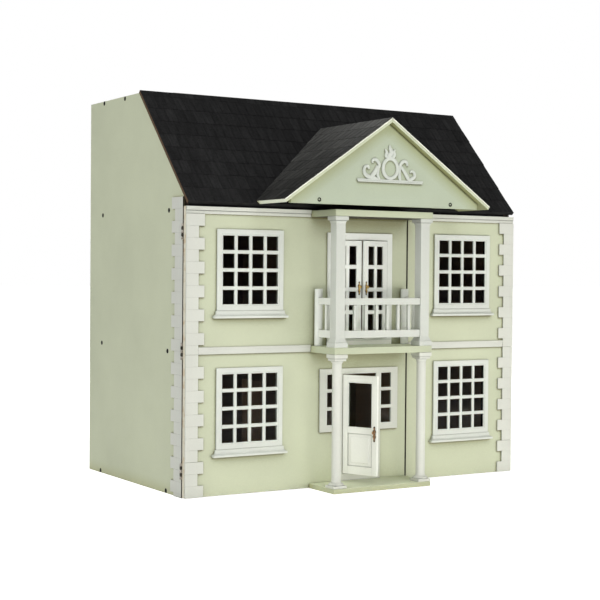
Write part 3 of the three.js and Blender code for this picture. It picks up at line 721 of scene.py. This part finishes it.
bm = bmesh.new()
stroke(bm, oval(16.2, 18.2, 26.5, 8.4))
for points in STROKES:
    stroke(bm, points)
for half, z0, z1, lift in FOOT_BARS:
    low, high = Vector((-half, 0.05 - lift, z0)), Vector((half, 0, z1))
    slab(bm, ORNAMENT_FOOT + low * MM, ORNAMENT_FOOT + high * MM)
new_piece("pediment_scrollwork", bm, [WHITE_ORNAMENT], "roof", ["pediment_ornament"],
          smooth=50)

# ------------ mouldings

# Points in millimetres: (height from the foot, distance), but (inset, depth from its face) for CASING.
SILL = ((0, 6.8), (0.7, 7.7), (1.6, 8.0), (3.4, 8.0), (4.2, 7.4), (4.9, 5.6), (6.0, 3.8), (7.6, 2.7),
        (9.2, 2.4), (12.6, 2.4), (13.5, 1.6))
CORNICE = ((0, 1.6), (5.2, 1.6), (5.3, 3.0), (6.3, 3.0), (6.4, 0.3), (10.4, 0.3), (10.6, 0.0), (13, 0.0))
STRING_COURSE = ((0, 0.9), (0.8, 0.3), (8.2, 0.3), (9.0, 0.0), (12.4, 0.0), (13, 0.4))
CASING = ((0, 0.7), (0.5, 0.0), (8.4, 0.0), (9.0, 0.7), (11.5, 0.9))
SILL_EARS, SILL_RISE, CASING_W, CASING_T = 8 * MM, 13.4 * MM, 11.5 * MM, 3.7 * MM
BAR_W, BAR_TOP_W, BAR_CHAMFER, BAR_TUCK = 6.6 * MM, 3.9 * MM, 0.9 * MM, 0.5 * MM


def window_sill(bm, low, high):
    """A moulded sill with returned ends."""
    rings = []
    for rise, out in SILL:
        x0, x1 = low.x + SILL_EARS - out * MM, high.x - SILL_EARS + out * MM
        front, z = low.y + 0.875 * (SILL_EARS - out * MM), low.z + rise * MM
        rings.append([Vector((x0, front, z)), Vector((x1, front, z)),
                      Vector((x1, high.y, z)), Vector((x0, high.y, z))])
    skin(bm, rings)


def glazing_bar(bm, centre, ends, upright, front, rear):
    """A bar with chamfered edges, about a centre line that is upright or level."""
    half = ((BAR_TOP_W / 2, front), (BAR_W / 2, front + BAR_CHAMFER), (BAR_W / 2, rear))
    section = [(centre - u, y) for u, y in half[::-1]] + [(centre + u, y) for u, y in half]
    skin(bm, [[Vector((u, y, end) if upright else (end, y, u)) for u, y in section] for end in ends])


def window(name, body):
    """Moulded sill, mitred casing with a stepped inner edge, and glazing bars."""
    low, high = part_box(name)
    bm = bmesh.new()
    window_sill(bm, low, high)
    x, z = (low.x + SILL_EARS, high.x - SILL_EARS), (low.z + SILL_RISE, high.z)
    front, rear = high.y - CASING_T, high.y
    face = [(inset * MM, front + depth * MM) for inset, depth in CASING]
    framing(bm, Matrix(), x, z, [(0, rear), *face, (CASING_W, rear)])
    (x0, z0), _, (x1, z1), _ = rectangle(x, z, CASING_W)
    for i in range(1, 4):
        upright_x = x0 - BAR_W / 2 + i * (x1 - x0 + BAR_W) / 4
        level_z = z0 - BAR_W / 2 + i * (z1 - z0 + BAR_W) / 4
        glazing_bar(bm, upright_x, (z0 - BAR_TUCK, z1 + BAR_TUCK), True, front + 0.55 * MM, rear)
        glazing_bar(bm, level_z, (x0 - BAR_TUCK, x1 + BAR_TUCK), False, front + 0.6 * MM, rear)
    new_piece(f"{name}_joinery", bm, [WHITE_WINDOW], body, [name], bevel=0.25 * MM)


def strip(name, body, profile):
    """A moulding along X; its profile's distances are depths from the front."""
    low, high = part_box(name)
    bm = bmesh.new()
    section = [(high.y, low.z), *((low.y + d * MM, low.z + h * MM) for h, d in profile), (high.y, high.z)]
    skin(bm, [[Vector((x, y, z)) for y, z in section] for x in (low.x, high.x)])
    new_piece(f"{name}_moulding", bm, [WHITE_ALL], body, [name], bevel=0.2 * MM)


for side in ("left", "right"):
    for level in ("lower", "upper"):
        window(f"{side}_{level}_window_frame", f"{side}_front")
for side in ("left", "right"):
    strip(f"{side}_cornice", f"{side}_front", CORNICE)
    strip(f"{side}_string_course", f"{side}_front", STRING_COURSE)

BLOCK, LOW_BLOCKS, HIGH_BLOCKS, SIDE_BLOCKS = 21.1 * MM, 12, 11, 25
FRONT_LONG, FRONT_SHORT, SIDE_LONG, SIDE_SHORT = 36 * MM, 24.5 * MM, 44 * MM, 31 * MM
SIDE_FOOT = 7 * MM
FINE_JOINT, OPEN_JOINT = 0.04 * MM, 0.35 * MM


def blocks(name, body, material, widths, block_at, pieces, open_joints=()):
    """Corner blocks, each with eased edges; an open joint is wider than the rest."""
    bm = bmesh.new()
    for i, (z0, z1, wide) in enumerate(pieces):
        gap = OPEN_JOINT if i in open_joints else FINE_JOINT
        block_at(bm, z0 + gap, z1 - FINE_JOINT, widths[0] if wide else widths[1])
    new_piece(f"{name}_blocks", bm, [material], body, [name], bevel=0.16 * MM)


def block_run(foot, count):
    """Blocks upward from the foot as (bottom, top, whether it is long)."""
    return [(foot + i * BLOCK, foot + (i + 1) * BLOCK, i % 2 == 0) for i in range(count)]


for side, sign in (("left", -1), ("right", 1)):
    front_low, front_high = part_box(f"{side}_front_quoins")
    edge = front_low.x if sign < 0 else front_high.x
    upper_foot = front_high.z - HIGH_BLOCKS * BLOCK
    filler = (front_low.z + LOW_BLOCKS * BLOCK, upper_foot, False)

    def front_block(bm, z0, z1, wide):
        x0, x1 = sorted((edge, edge - sign * wide))
        slab(bm, (x0, front_low.y, z0), (x1, front_high.y, z1))

    blocks(f"{side}_front_quoins", f"{side}_front", WHITE_ALL, (FRONT_LONG, FRONT_SHORT), front_block,
           [*block_run(front_low.z, LOW_BLOCKS), filler, *block_run(upper_foot, HIGH_BLOCKS)], (3, 12))

    side_low, side_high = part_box(f"{side}_side_quoins")
    foot_block = (side_low.z, side_low.z + SIDE_FOOT, False)

    def side_block(bm, z0, z1, wide):
        slab(bm, (side_low.x, side_low.y, z0), (side_high.x, side_low.y + wide, z1))

    blocks(f"{side}_side_quoins", "house", WHITE_QUOIN, (SIDE_LONG, SIDE_SHORT), side_block,
           [foot_block, *block_run(side_low.z + SIDE_FOOT, SIDE_BLOCKS)])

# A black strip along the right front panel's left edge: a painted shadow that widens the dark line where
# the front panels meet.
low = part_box("right_front_panel")[0]
course_low, course_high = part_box("right_string_course")
cornice_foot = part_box("right_cornice")[0].z
bm = bmesh.new()
for z0, z1 in ((low.z, course_low.z), (course_high.z, cornice_foot)):
    slab(bm, (low.x + 0.05 * MM, low.y - 0.15 * MM, z0 + 0.5 * MM),
         (low.x + 0.6 * MM, low.y + 0.1 * MM, z1 - 0.5 * MM))
new_piece("meeting_strip", bm, [BLACK], "right_front")

# The threshold strip is in the lighter white, which is painted light.
low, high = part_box("french_door_frame")
bm = bmesh.new()
slab(bm, (low.x + 1 * MM, low.y - 0.6 * MM, low.z), (high.x - 1 * MM, low.y + 0.1 * MM, low.z + 8 * MM))
new_piece("french_door_threshold", bm, [THRESHOLD_WHITE_LIT], "left_front", bevel=0.2 * MM)

# ------------ columns

SQUARE_SHAFT, SQUARE_FOOT, SQUARE_HEAD, CAP_GROOVE = 9.75 * MM, 8.4 * MM, 7 * MM, 0.9 * MM
ROUND_SHAFT, PLINTH, CAP_BLOCK = 8.65 * MM, 5 * MM, 7 * MM


def cove(wide, narrow, z, rise, steps=7):
    """A hollow quarter-round, as (half-width, height) points from its wide end."""
    turns = [pi / 2 * i / steps for i in range(steps + 1)]
    return [(narrow + (wide - narrow) * (1 - sin(t)), z + rise * (1 - cos(t))) for t in turns]


def flare(wide, narrow, z, rise, steps=6):
    """A straighter splay than a cove, from its wide end."""
    stops = [i / steps for i in range(steps + 1)]
    return [(narrow + (wide - narrow) * (1 - t) ** 1.35, z + rise * t) for t in stops]


def square_column(name, piece):
    low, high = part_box(name)
    half, cap = (high.x - low.x) / 2, high.z - SQUARE_HEAD
    splay = flare(half - 0.9 * MM, SQUARE_SHAFT, low.z + SQUARE_FOOT + 0.5 * MM, 9.5 * MM)
    foot = [(half, low.z), (half, low.z + SQUARE_FOOT), *splay]
    neck = cove(half - 1.3 * MM, SQUARE_SHAFT, cap - CAP_GROOVE, -8 * MM)[::-1]
    groove = [(half - 2.4 * MM, cap - CAP_GROOVE), (half - 2.4 * MM, cap)]
    bm = bmesh.new()
    skin(bm, square_rings([*foot, *neck, *groove, (half, cap), (half, high.z)],
                          (low.x + high.x) / 2, (low.y + high.y) / 2))
    new_piece(piece, bm, [PORCH_WHITE_SHADED], "left_front", [name], bevel=0.3 * MM)


def round_column(name, piece):
    low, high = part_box(name)
    x, y, half = (low.x + high.x) / 2, (low.y + high.y) / 2, (high.x - low.x) / 2
    base, cap = low.z + PLINTH, high.z - CAP_BLOCK
    rounds = ((0.6, 0), (0, 0.8), (0, 2.4), (0.8, 3.6), (2.4, 4.2))
    bells = ((0, 10.5), (0.5, 9.2), (1.6, 7.6), (2.5, 6.4), (2.5, 4))
    profile = [(half - inset * MM, base + rise * MM) for inset, rise in rounds]
    profile += cove(half - 3.2 * MM, ROUND_SHAFT, base + 4.6 * MM, 7 * MM)
    profile += [(ROUND_SHAFT + swell * MM, cap - drop * MM) for swell, drop in bells]
    bm = bmesh.new()
    turned(bm, profile, Matrix.Translation((x, y, 0)), 48)
    ease, lap = 0.5 * MM, 0.05 * MM
    for z0, z1, r in ((low.z, base + lap, half), (cap - lap, high.z, half),
                      (cap - 5 * MM, cap, half - 1.9 * MM)):
        skin(bm, square_rings([(r - ease, z0), (r, z0 + ease), (r, z1 - ease), (r - ease, z1)], x, y))
    new_piece(piece, bm, [WHITE_ALL], "left_front", [name])


for side in ("left", "right"):
    square_column(f"{side}_upper_column", f"{side}_square_column")
    round_column(f"{side}_lower_column", f"{side}_round_column")

# ------------ hinges

BARREL_R, BARREL_EASE, PIN_R = 2.15 * MM, 0.3 * MM, 1.1 * MM
LEAF_NEAR, LEAF_FAR, LEAF_SCREW = 1.2 * MM, 13 * MM, 8 * MM      # distances from the hinge's axis
FRONT_KNUCKLES, RIDGE_KNUCKLES, RIDGE_SCREWS = 5, 41, 7
RIDGE_R, RIDGE_EDGE = 1.55 * MM, (2.4 * MM, 6.4 * MM)


def joint_place(name):
    return next(joint["pos_m"] for joint in frame["joints"] if joint["name"] == name)


def knuckles(leaves, start, end, count, gap, profile, place, segments):
    """Barrels in turn on each of two leaves; profile(bottom, top) is one barrel's outline."""
    tall = (end - start) / count
    for i in range(count):
        outline = profile(start + i * tall + gap, start + (i + 1) * tall - gap)
        turned(leaves[i % 2], outline, place, segments)


def front_barrel(z0, z1):
    narrow, ease = BARREL_R - BARREL_EASE, 0.25 * MM
    return [(narrow, z0), (BARREL_R, z0 + ease), (BARREL_R, z1 - ease), (narrow, z1)]


def ridge_barrel(z0, z1):
    narrow = RIDGE_R - BARREL_EASE
    return [(narrow, z0), (RIDGE_R, z0 + BARREL_EASE), (RIDGE_R, z1 - BARREL_EASE), (narrow, z1)]


for side, sign in (("left", -1), ("right", 1)):
    px, py, _ = joint_place(f"{side}_front_hinge")
    carcass_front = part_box(f"{side}_side_panel")[0].y
    panel_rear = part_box(f"{side}_front_panel")[1].y
    axis = Matrix.Translation((px, py, 0))
    x0, x1 = sorted((px - sign * LEAF_NEAR, px - sign * LEAF_FAR))
    for level in ("bottom", "middle", "top"):
        name = f"{side}_hinge_{level}"
        low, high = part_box(name)
        z0, z1 = low.z + 0.4 * MM, high.z - 0.4 * MM
        fixed, moving = bmesh.new(), bmesh.new()
        knuckles((fixed, moving), low.z, high.z, FRONT_KNUCKLES, 0.35 * MM, front_barrel, axis, 20)
        turned(fixed, [(PIN_R, low.z + 0.3 * MM), (PIN_R, high.z - 0.3 * MM)], axis, 12, 1)
        slab(fixed, (x0, carcass_front - 1.25 * MM, z0), (x1, carcass_front - 0.35 * MM, z1))
        slab(moving, (x0, panel_rear + 0.05 * MM, z0), (x1, panel_rear + 0.9 * MM, z1))
        for part in (0.2, 0.8):
            spot = (px - sign * LEAF_SCREW, carcass_front - 1.25 * MM, low.z + part * (high.z - low.z))
            screw(fixed, looking(spot, (0, -1, 0)), 1.5 * MM)
        new_piece(f"{name}_fixed_leaf", fixed, [STEEL, IRON], "house", [name])
        new_piece(f"{name}_moving_leaf", moving, [DARK_STEEL], f"{side}_front")

low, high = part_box("ridge_hinge")
_, py, pz = joint_place("roof_hinge")
axis = Matrix.Translation((0, py, pz)) @ Matrix.Rotation(radians(90), 4, "Y")
leaf_top = low.z + 1.1 * MM
fixed, moving = bmesh.new(), bmesh.new()
knuckles((fixed, moving), low.x, high.x, RIDGE_KNUCKLES, 0.2 * MM, ridge_barrel, axis, 14)
slab(fixed, (low.x + 1 * MM, py + 1 * MM, low.z + 0.2 * MM), (high.x - 1 * MM, high.y - 0.2 * MM, leaf_top))
for i in range(RIDGE_SCREWS):
    x = low.x + (i + 0.5) * (high.x - low.x) / RIDGE_SCREWS
    screw(fixed, looking((x, (py + high.y) / 2 + 1.4 * MM, leaf_top), (0, 0, 1)), 1.9 * MM)
new_piece("ridge_hinge_fixed_leaf", fixed, [STEEL, IRON], "house", ["ridge_hinge"])
corners = [roof_spot(0, -0.45 * MM, out) for out in RIDGE_EDGE]
corners += [roof_spot(0, 0, out) for out in RIDGE_EDGE[::-1]]
skin(moving, [[Vector((x, p.y, p.z)) for p in corners] for x in (low.x + 1 * MM, high.x - 1 * MM)])
new_piece("ridge_hinge_moving_leaf", moving, [STEEL], "roof")

# ------------ doors

DOOR_W, DOOR_T, DOOR_STILE = 75 * MM, 5.5 * MM, 10.7 * MM
BOTTOM_RAIL, LOCK_RAIL = 15 * MM, 10.5 * MM
LEAF_W, LEAF_T, LEAF_STILE, LEAF_RAIL, LEAF_BAR = 60.5 * MM, 5 * MM, 10.6 * MM, 9.7 * MM, 6.2 * MM
DOOR_HANDLE, LEAF_HANDLE, LEAF_HANDLE_Z = (3.9 * MM, 14.6 * MM), (2.9 * MM, 13 * MM), 94.5 * MM
GLASS_LAP = 0.3 * MM
# The right half of a back plate's upper part, from its tip, in parts of its half-width and half-height.
PLATE = ((0, 1.0), (0.34, 0.94), (0.5, 0.84), (0.36, 0.74), (0.3, 0.66), (0.55, 0.55), (0.86, 0.4),
         (0.92, 0.26), (0.66, 0.14), (0.6, 0))
# A knob is (radius in millimetres, part of its reach) points; the rest are (inset, depth) in millimetres.
KNOB = ((1.0, 0.3), (1.7, 0.42), (2.4, 0.6), (2.5, 0.78), (1.9, 0.93), (0.7, 1.0))
PANEL_FIELD = ((1.3, 1.95), (1.5, 1.5), (7.0, 0.95), (7.2, 0.45), (7.8, 0.25))
GLASS_BEAD = ((-0.2, 1.2), (-0.2, -0.35), (0.7, -0.35), (1.5, 0.5), (1.7, 1.6), (0.2, 1.6))
PANE_BEAD = ((-0.2, 1.3), (-0.2, 0.4), (0.5, 0.6), (0.9, 1.7))


def door_frame(joint_name, degrees, side=-1):
    """The door's own frame at its open angle: +X from its hinge edge across the leaf, +Y inward."""
    x, y, _ = joint_place(joint_name)
    mirror = Matrix.Diagonal((-side, 1, 1, 1))
    return Matrix.Translation((x, y, 0)) @ Matrix.Rotation(radians(degrees), 4, "Z") @ mirror


def inward(profile, thickness):
    """A profile in millimetres as (inset, depth) points on each face of a leaf."""
    front = [(inset * MM, depth * MM) for inset, depth in profile]
    return front, [(inset, thickness - depth) for inset, depth in front]


def handle(bm, place, x, z, size):
    """A scrolled back plate on a dark ground, with a turned drop knob, on the face that looks to -Y."""
    front = -0.05 * MM
    quarter = [(u * size[0], v * size[1]) for u, v in PLATE]
    right = smooth_path(quarter + [(u, -v) for u, v in quarter[-2::-1]], 3)
    outline = right + [(-u, v) for u, v in right[-2:0:-1]]
    for scale, back, out, slot in ((1.0, 0, 0.45, 1), (0.8, 0.3, 0.95, 0)):
        layers = ((scale, back), (scale, out - 0.15), (scale * 0.9, out))
        skin(bm, [[place @ Vector((x + u * k, front - d * MM, z + v * k)) for u, v in outline]
                  for k, d in layers], slot)
    for v, r, reach in ((0.2, 1.0, 5.2), (-0.5, 0.55, 2.0)):
        spindle = (place @ Matrix.Translation((x, front - 0.9 * MM, z + v * size[1]))
                   @ Matrix.Rotation(radians(90), 4, "X") @ Matrix.Diagonal((r, r * 1.25, 1, 1)))
        profile = [(1.3 * MM, -0.2 * MM)] + [(radius * MM, part * reach * MM) for radius, part in KNOB]
        turned(bm, profile, spindle, 20)


low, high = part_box("front_door")
glass_low, glass_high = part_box("front_door_glass")
place = door_frame("front_door_hinge", -66)
inner_x = (DOOR_STILE, DOOR_W - DOOR_STILE)
glass_z = (glass_low.z - GLASS_LAP, glass_high.z + GLASS_LAP)
panel_z = (low.z + BOTTOM_RAIL, glass_z[0] - LOCK_RAIL)
bm = bmesh.new()
for x0, x1 in ((0, inner_x[0]), (inner_x[1], DOOR_W)):
    slab(bm, (x0, 0, low.z), (x1, DOOR_T, high.z), 0, place)
for z0, z1 in ((low.z, panel_z[0]), (panel_z[1], glass_z[0]), (glass_z[1], high.z)):
    slab(bm, (inner_x[0], 0, z0), (inner_x[1], DOOR_T, z1), 0, place)
slab(bm, (inner_x[0] - 0.3 * MM, 1.9 * MM, panel_z[0] - 0.3 * MM),
     (inner_x[1] + 0.3 * MM, DOOR_T - 1.9 * MM, panel_z[1] + 0.3 * MM), 0, place)
for field, bead in zip(inward(PANEL_FIELD, DOOR_T), inward(GLASS_BEAD, DOOR_T)):
    skin(bm, [[place @ Vector((u, depth, v)) for u, v in rectangle(inner_x, panel_z, inset)]
              for inset, depth in field])
    framing(bm, place, inner_x, glass_z, bead)
new_piece("front_door_joinery", bm, [DOOR_WHITE_LIT], "front_door", ["front_door"],
          bevel=0.25 * MM)

bm = bmesh.new()
handle_z = sum(c.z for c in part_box("front_door_handle")) / 2
inside = place @ Matrix.Translation((0, DOOR_T, 0)) @ Matrix.Diagonal((1, -1, 1, 1))
for face in (place, inside):
    handle(bm, face, DOOR_W - DOOR_STILE / 2, handle_z, DOOR_HANDLE)
new_piece("front_door_handles", bm, [BRONZE, TARNISH], "front_door", ["front_door_handle"])

for side, name, degrees in ((-1, "left", -4), (1, "right", 10)):
    door = f"{name}_french_door"
    place = door_frame(f"{door}_hinge", degrees, side)
    low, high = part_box(door)
    bm = bmesh.new()
    slab(bm, (LEAF_STILE - 1 * MM, LEAF_T / 2 - 0.5 * MM, low.z + LEAF_RAIL - 1 * MM),
         (LEAF_W - LEAF_STILE + 1 * MM, LEAF_T / 2 + 0.5 * MM, high.z - LEAF_RAIL + 1 * MM), 0, place)
    new_piece(f"{door}_glass", bm, [CLEAR], door)
    bm = bmesh.new()
    pane_w = (LEAF_W - 2 * LEAF_STILE - LEAF_BAR) / 2
    pane_h = (high.z - low.z - 2 * LEAF_RAIL - 3 * LEAF_BAR) / 4
    for i in range(2):
        for j in range(4):
            x0 = LEAF_STILE + i * (pane_w + LEAF_BAR)
            z0 = low.z + LEAF_RAIL + j * (pane_h + LEAF_BAR)
            for bead in inward(PANE_BEAD, LEAF_T):
                framing(bm, place, (x0, x0 + pane_w), (z0, z0 + pane_h), bead)
    new_piece(f"{door}_beads", bm, [WHITE_PAINTED_LIGHT], door)
    bm = bmesh.new()
    handle(bm, place, LEAF_W - LEAF_STILE / 2, low.z + LEAF_HANDLE_Z, LEAF_HANDLE)
    new_piece(f"{door}_handle", bm, [BRASS, TARNISH], door)

# ------------ floor, light, camera


def see_through(tree, lit, seen, add=False):
    """Shows the camera one shader, or that one added, and every other ray the lit one."""
    rays = tree.nodes.new("ShaderNodeLightPath")
    blend = tree.nodes.new("ShaderNodeMixShader")
    tree.links.new(rays.outputs["Is Camera Ray"], blend.inputs["Fac"])
    tree.links.new(lit, blend.inputs[1])
    if add:
        both = tree.nodes.new("ShaderNodeAddShader")
        tree.links.new(lit, both.inputs[0])
        tree.links.new(seen, both.inputs[1])
        seen = both.outputs["Shader"]
    tree.links.new(seen, blend.inputs[2])
    output = next(n for n in tree.nodes if n.type in ("OUTPUT_MATERIAL", "OUTPUT_WORLD"))
    tree.links.new(blend.outputs["Shader"], output.inputs["Surface"])


FLOOR_HALF, FLOOR_DROP = 30, 0.5 * MM
floor_mesh = bpy.data.meshes.new("floor")
floor_bm = bmesh.new()
bmesh.ops.create_grid(floor_bm, x_segments=1, y_segments=1, size=FLOOR_HALF)
floor_bm.to_mesh(floor_mesh)
floor_bm.free()
floor = add_object("floor", floor_mesh)
floor.location.z = -FLOOR_DROP
floor_material, floor_tree, floor_shader = tree_of("pale_floor")
floor_shader.inputs["Base Color"].default_value = (0.92, 0.92, 0.92, 1)
floor_shader.inputs["Roughness"].default_value = 0.9
floor_shader.inputs["Emission Color"].default_value = (1, 1, 1, 1)
floor_shader.inputs["Emission Strength"].default_value = 0.2
seen_floor = floor_tree.nodes.new("ShaderNodeEmission")
seen_floor.inputs["Strength"].default_value = 0.8
see_through(floor_tree, floor_shader.outputs["BSDF"], seen_floor.outputs["Emission"], True)
floor_mesh.materials.append(floor_material)

world = bpy.data.worlds.new("studio")
SCENE.world = world
world.use_nodes = True
world_tree = world.node_tree
sky = world_tree.nodes["Background"]
backdrop = world_tree.nodes.new("ShaderNodeBackground")
for background, strength in ((sky, 0.08), (backdrop, 1.0)):
    background.inputs["Color"].default_value = (1, 1, 1, 1)
    background.inputs["Strength"].default_value = strength
see_through(world_tree, sky.outputs["Background"], backdrop.outputs["Background"])


def softbox(name, place, target, size, power, glossy=True, colour=(1, 1, 1)):
    data = bpy.data.lights.new(name, "AREA")
    data.shape = "RECTANGLE"
    data.size, data.size_y = size
    data.energy = power
    data.color = colour
    lamp = add_object(name, data)
    lamp.location = place
    lamp.rotation_euler = (Vector(target) - Vector(place)).to_track_quat("-Z", "Y").to_euler()
    lamp.visible_camera = False
    lamp.visible_glossy = lamp.visible_transmission = glossy


WARM = (1, 0.97, 0.90)
softbox("top", (-0.4, -0.7, 2.7), (0, 0, 0.3), (1.2, 1.2), 9)
softbox("high_front", (0.1, -1.8, 2.3), (0, -0.1, 0.3), (0.9, 0.9), 9, False)
softbox("front", (-0.3, -2.8, 0.5), (0, -0.1, 0.2), (1.8, 0.8), 13.2, False)
softbox("side", (-3.0, -0.6, 1.4), (-0.3, 0, 0.3), (1.4, 1.4), 38)
softbox("right", (3.0, 0.9, 1.4), (0.3, 0.1, 0.3), (1.4, 1.4), 30)
softbox("back", (0.7, 3.2, 1.5), (0.1, 0.2, 0.3), (1.4, 1.4), 30)
softbox("low_front", (0.1, -1.25, 0.10), (0.1, -0.2, 0.10), (1.6, 0.16), 4.3, False, WARM)
softbox("mid_front", (-0.75, -1.45, 0.30), (0, -0.2, 0.30), (0.6, 0.10), 1.1, False)
softbox("low_right", (1.1, -1.3, 0.10), (0.2, -0.2, 0.12), (0.8, 0.16), 3.6, False, WARM)

CAMERA_PLACE, LENS_MM, SENSOR_MM = (-1.4747, -2.3682, 0.4024), 83.79, 36
YAW, PITCH_UP, ROLL = radians(31.341), radians(-1.140), radians(0.467)
camera_data = bpy.data.cameras.new("camera")
camera = add_object("camera", camera_data)
SCENE.camera = camera
camera_data.sensor_width = SENSOR_MM
camera_data.lens = LENS_MM
camera_data.clip_start = 0.05
camera_data.clip_end = 100
ahead = Vector((sin(YAW) * cos(PITCH_UP), cos(YAW) * cos(PITCH_UP), sin(PITCH_UP)))
level_right = Vector((cos(YAW), -sin(YAW), 0))
level_up = level_right.cross(ahead)
right = cos(ROLL) * level_right + sin(ROLL) * level_up
up = cos(ROLL) * level_up - sin(ROLL) * level_right
turn = Matrix((right, up, -ahead)).transposed().to_4x4()
camera.matrix_world = Matrix.Translation(CAMERA_PLACE) @ turn

SCENE.view_settings.view_transform = "Standard"
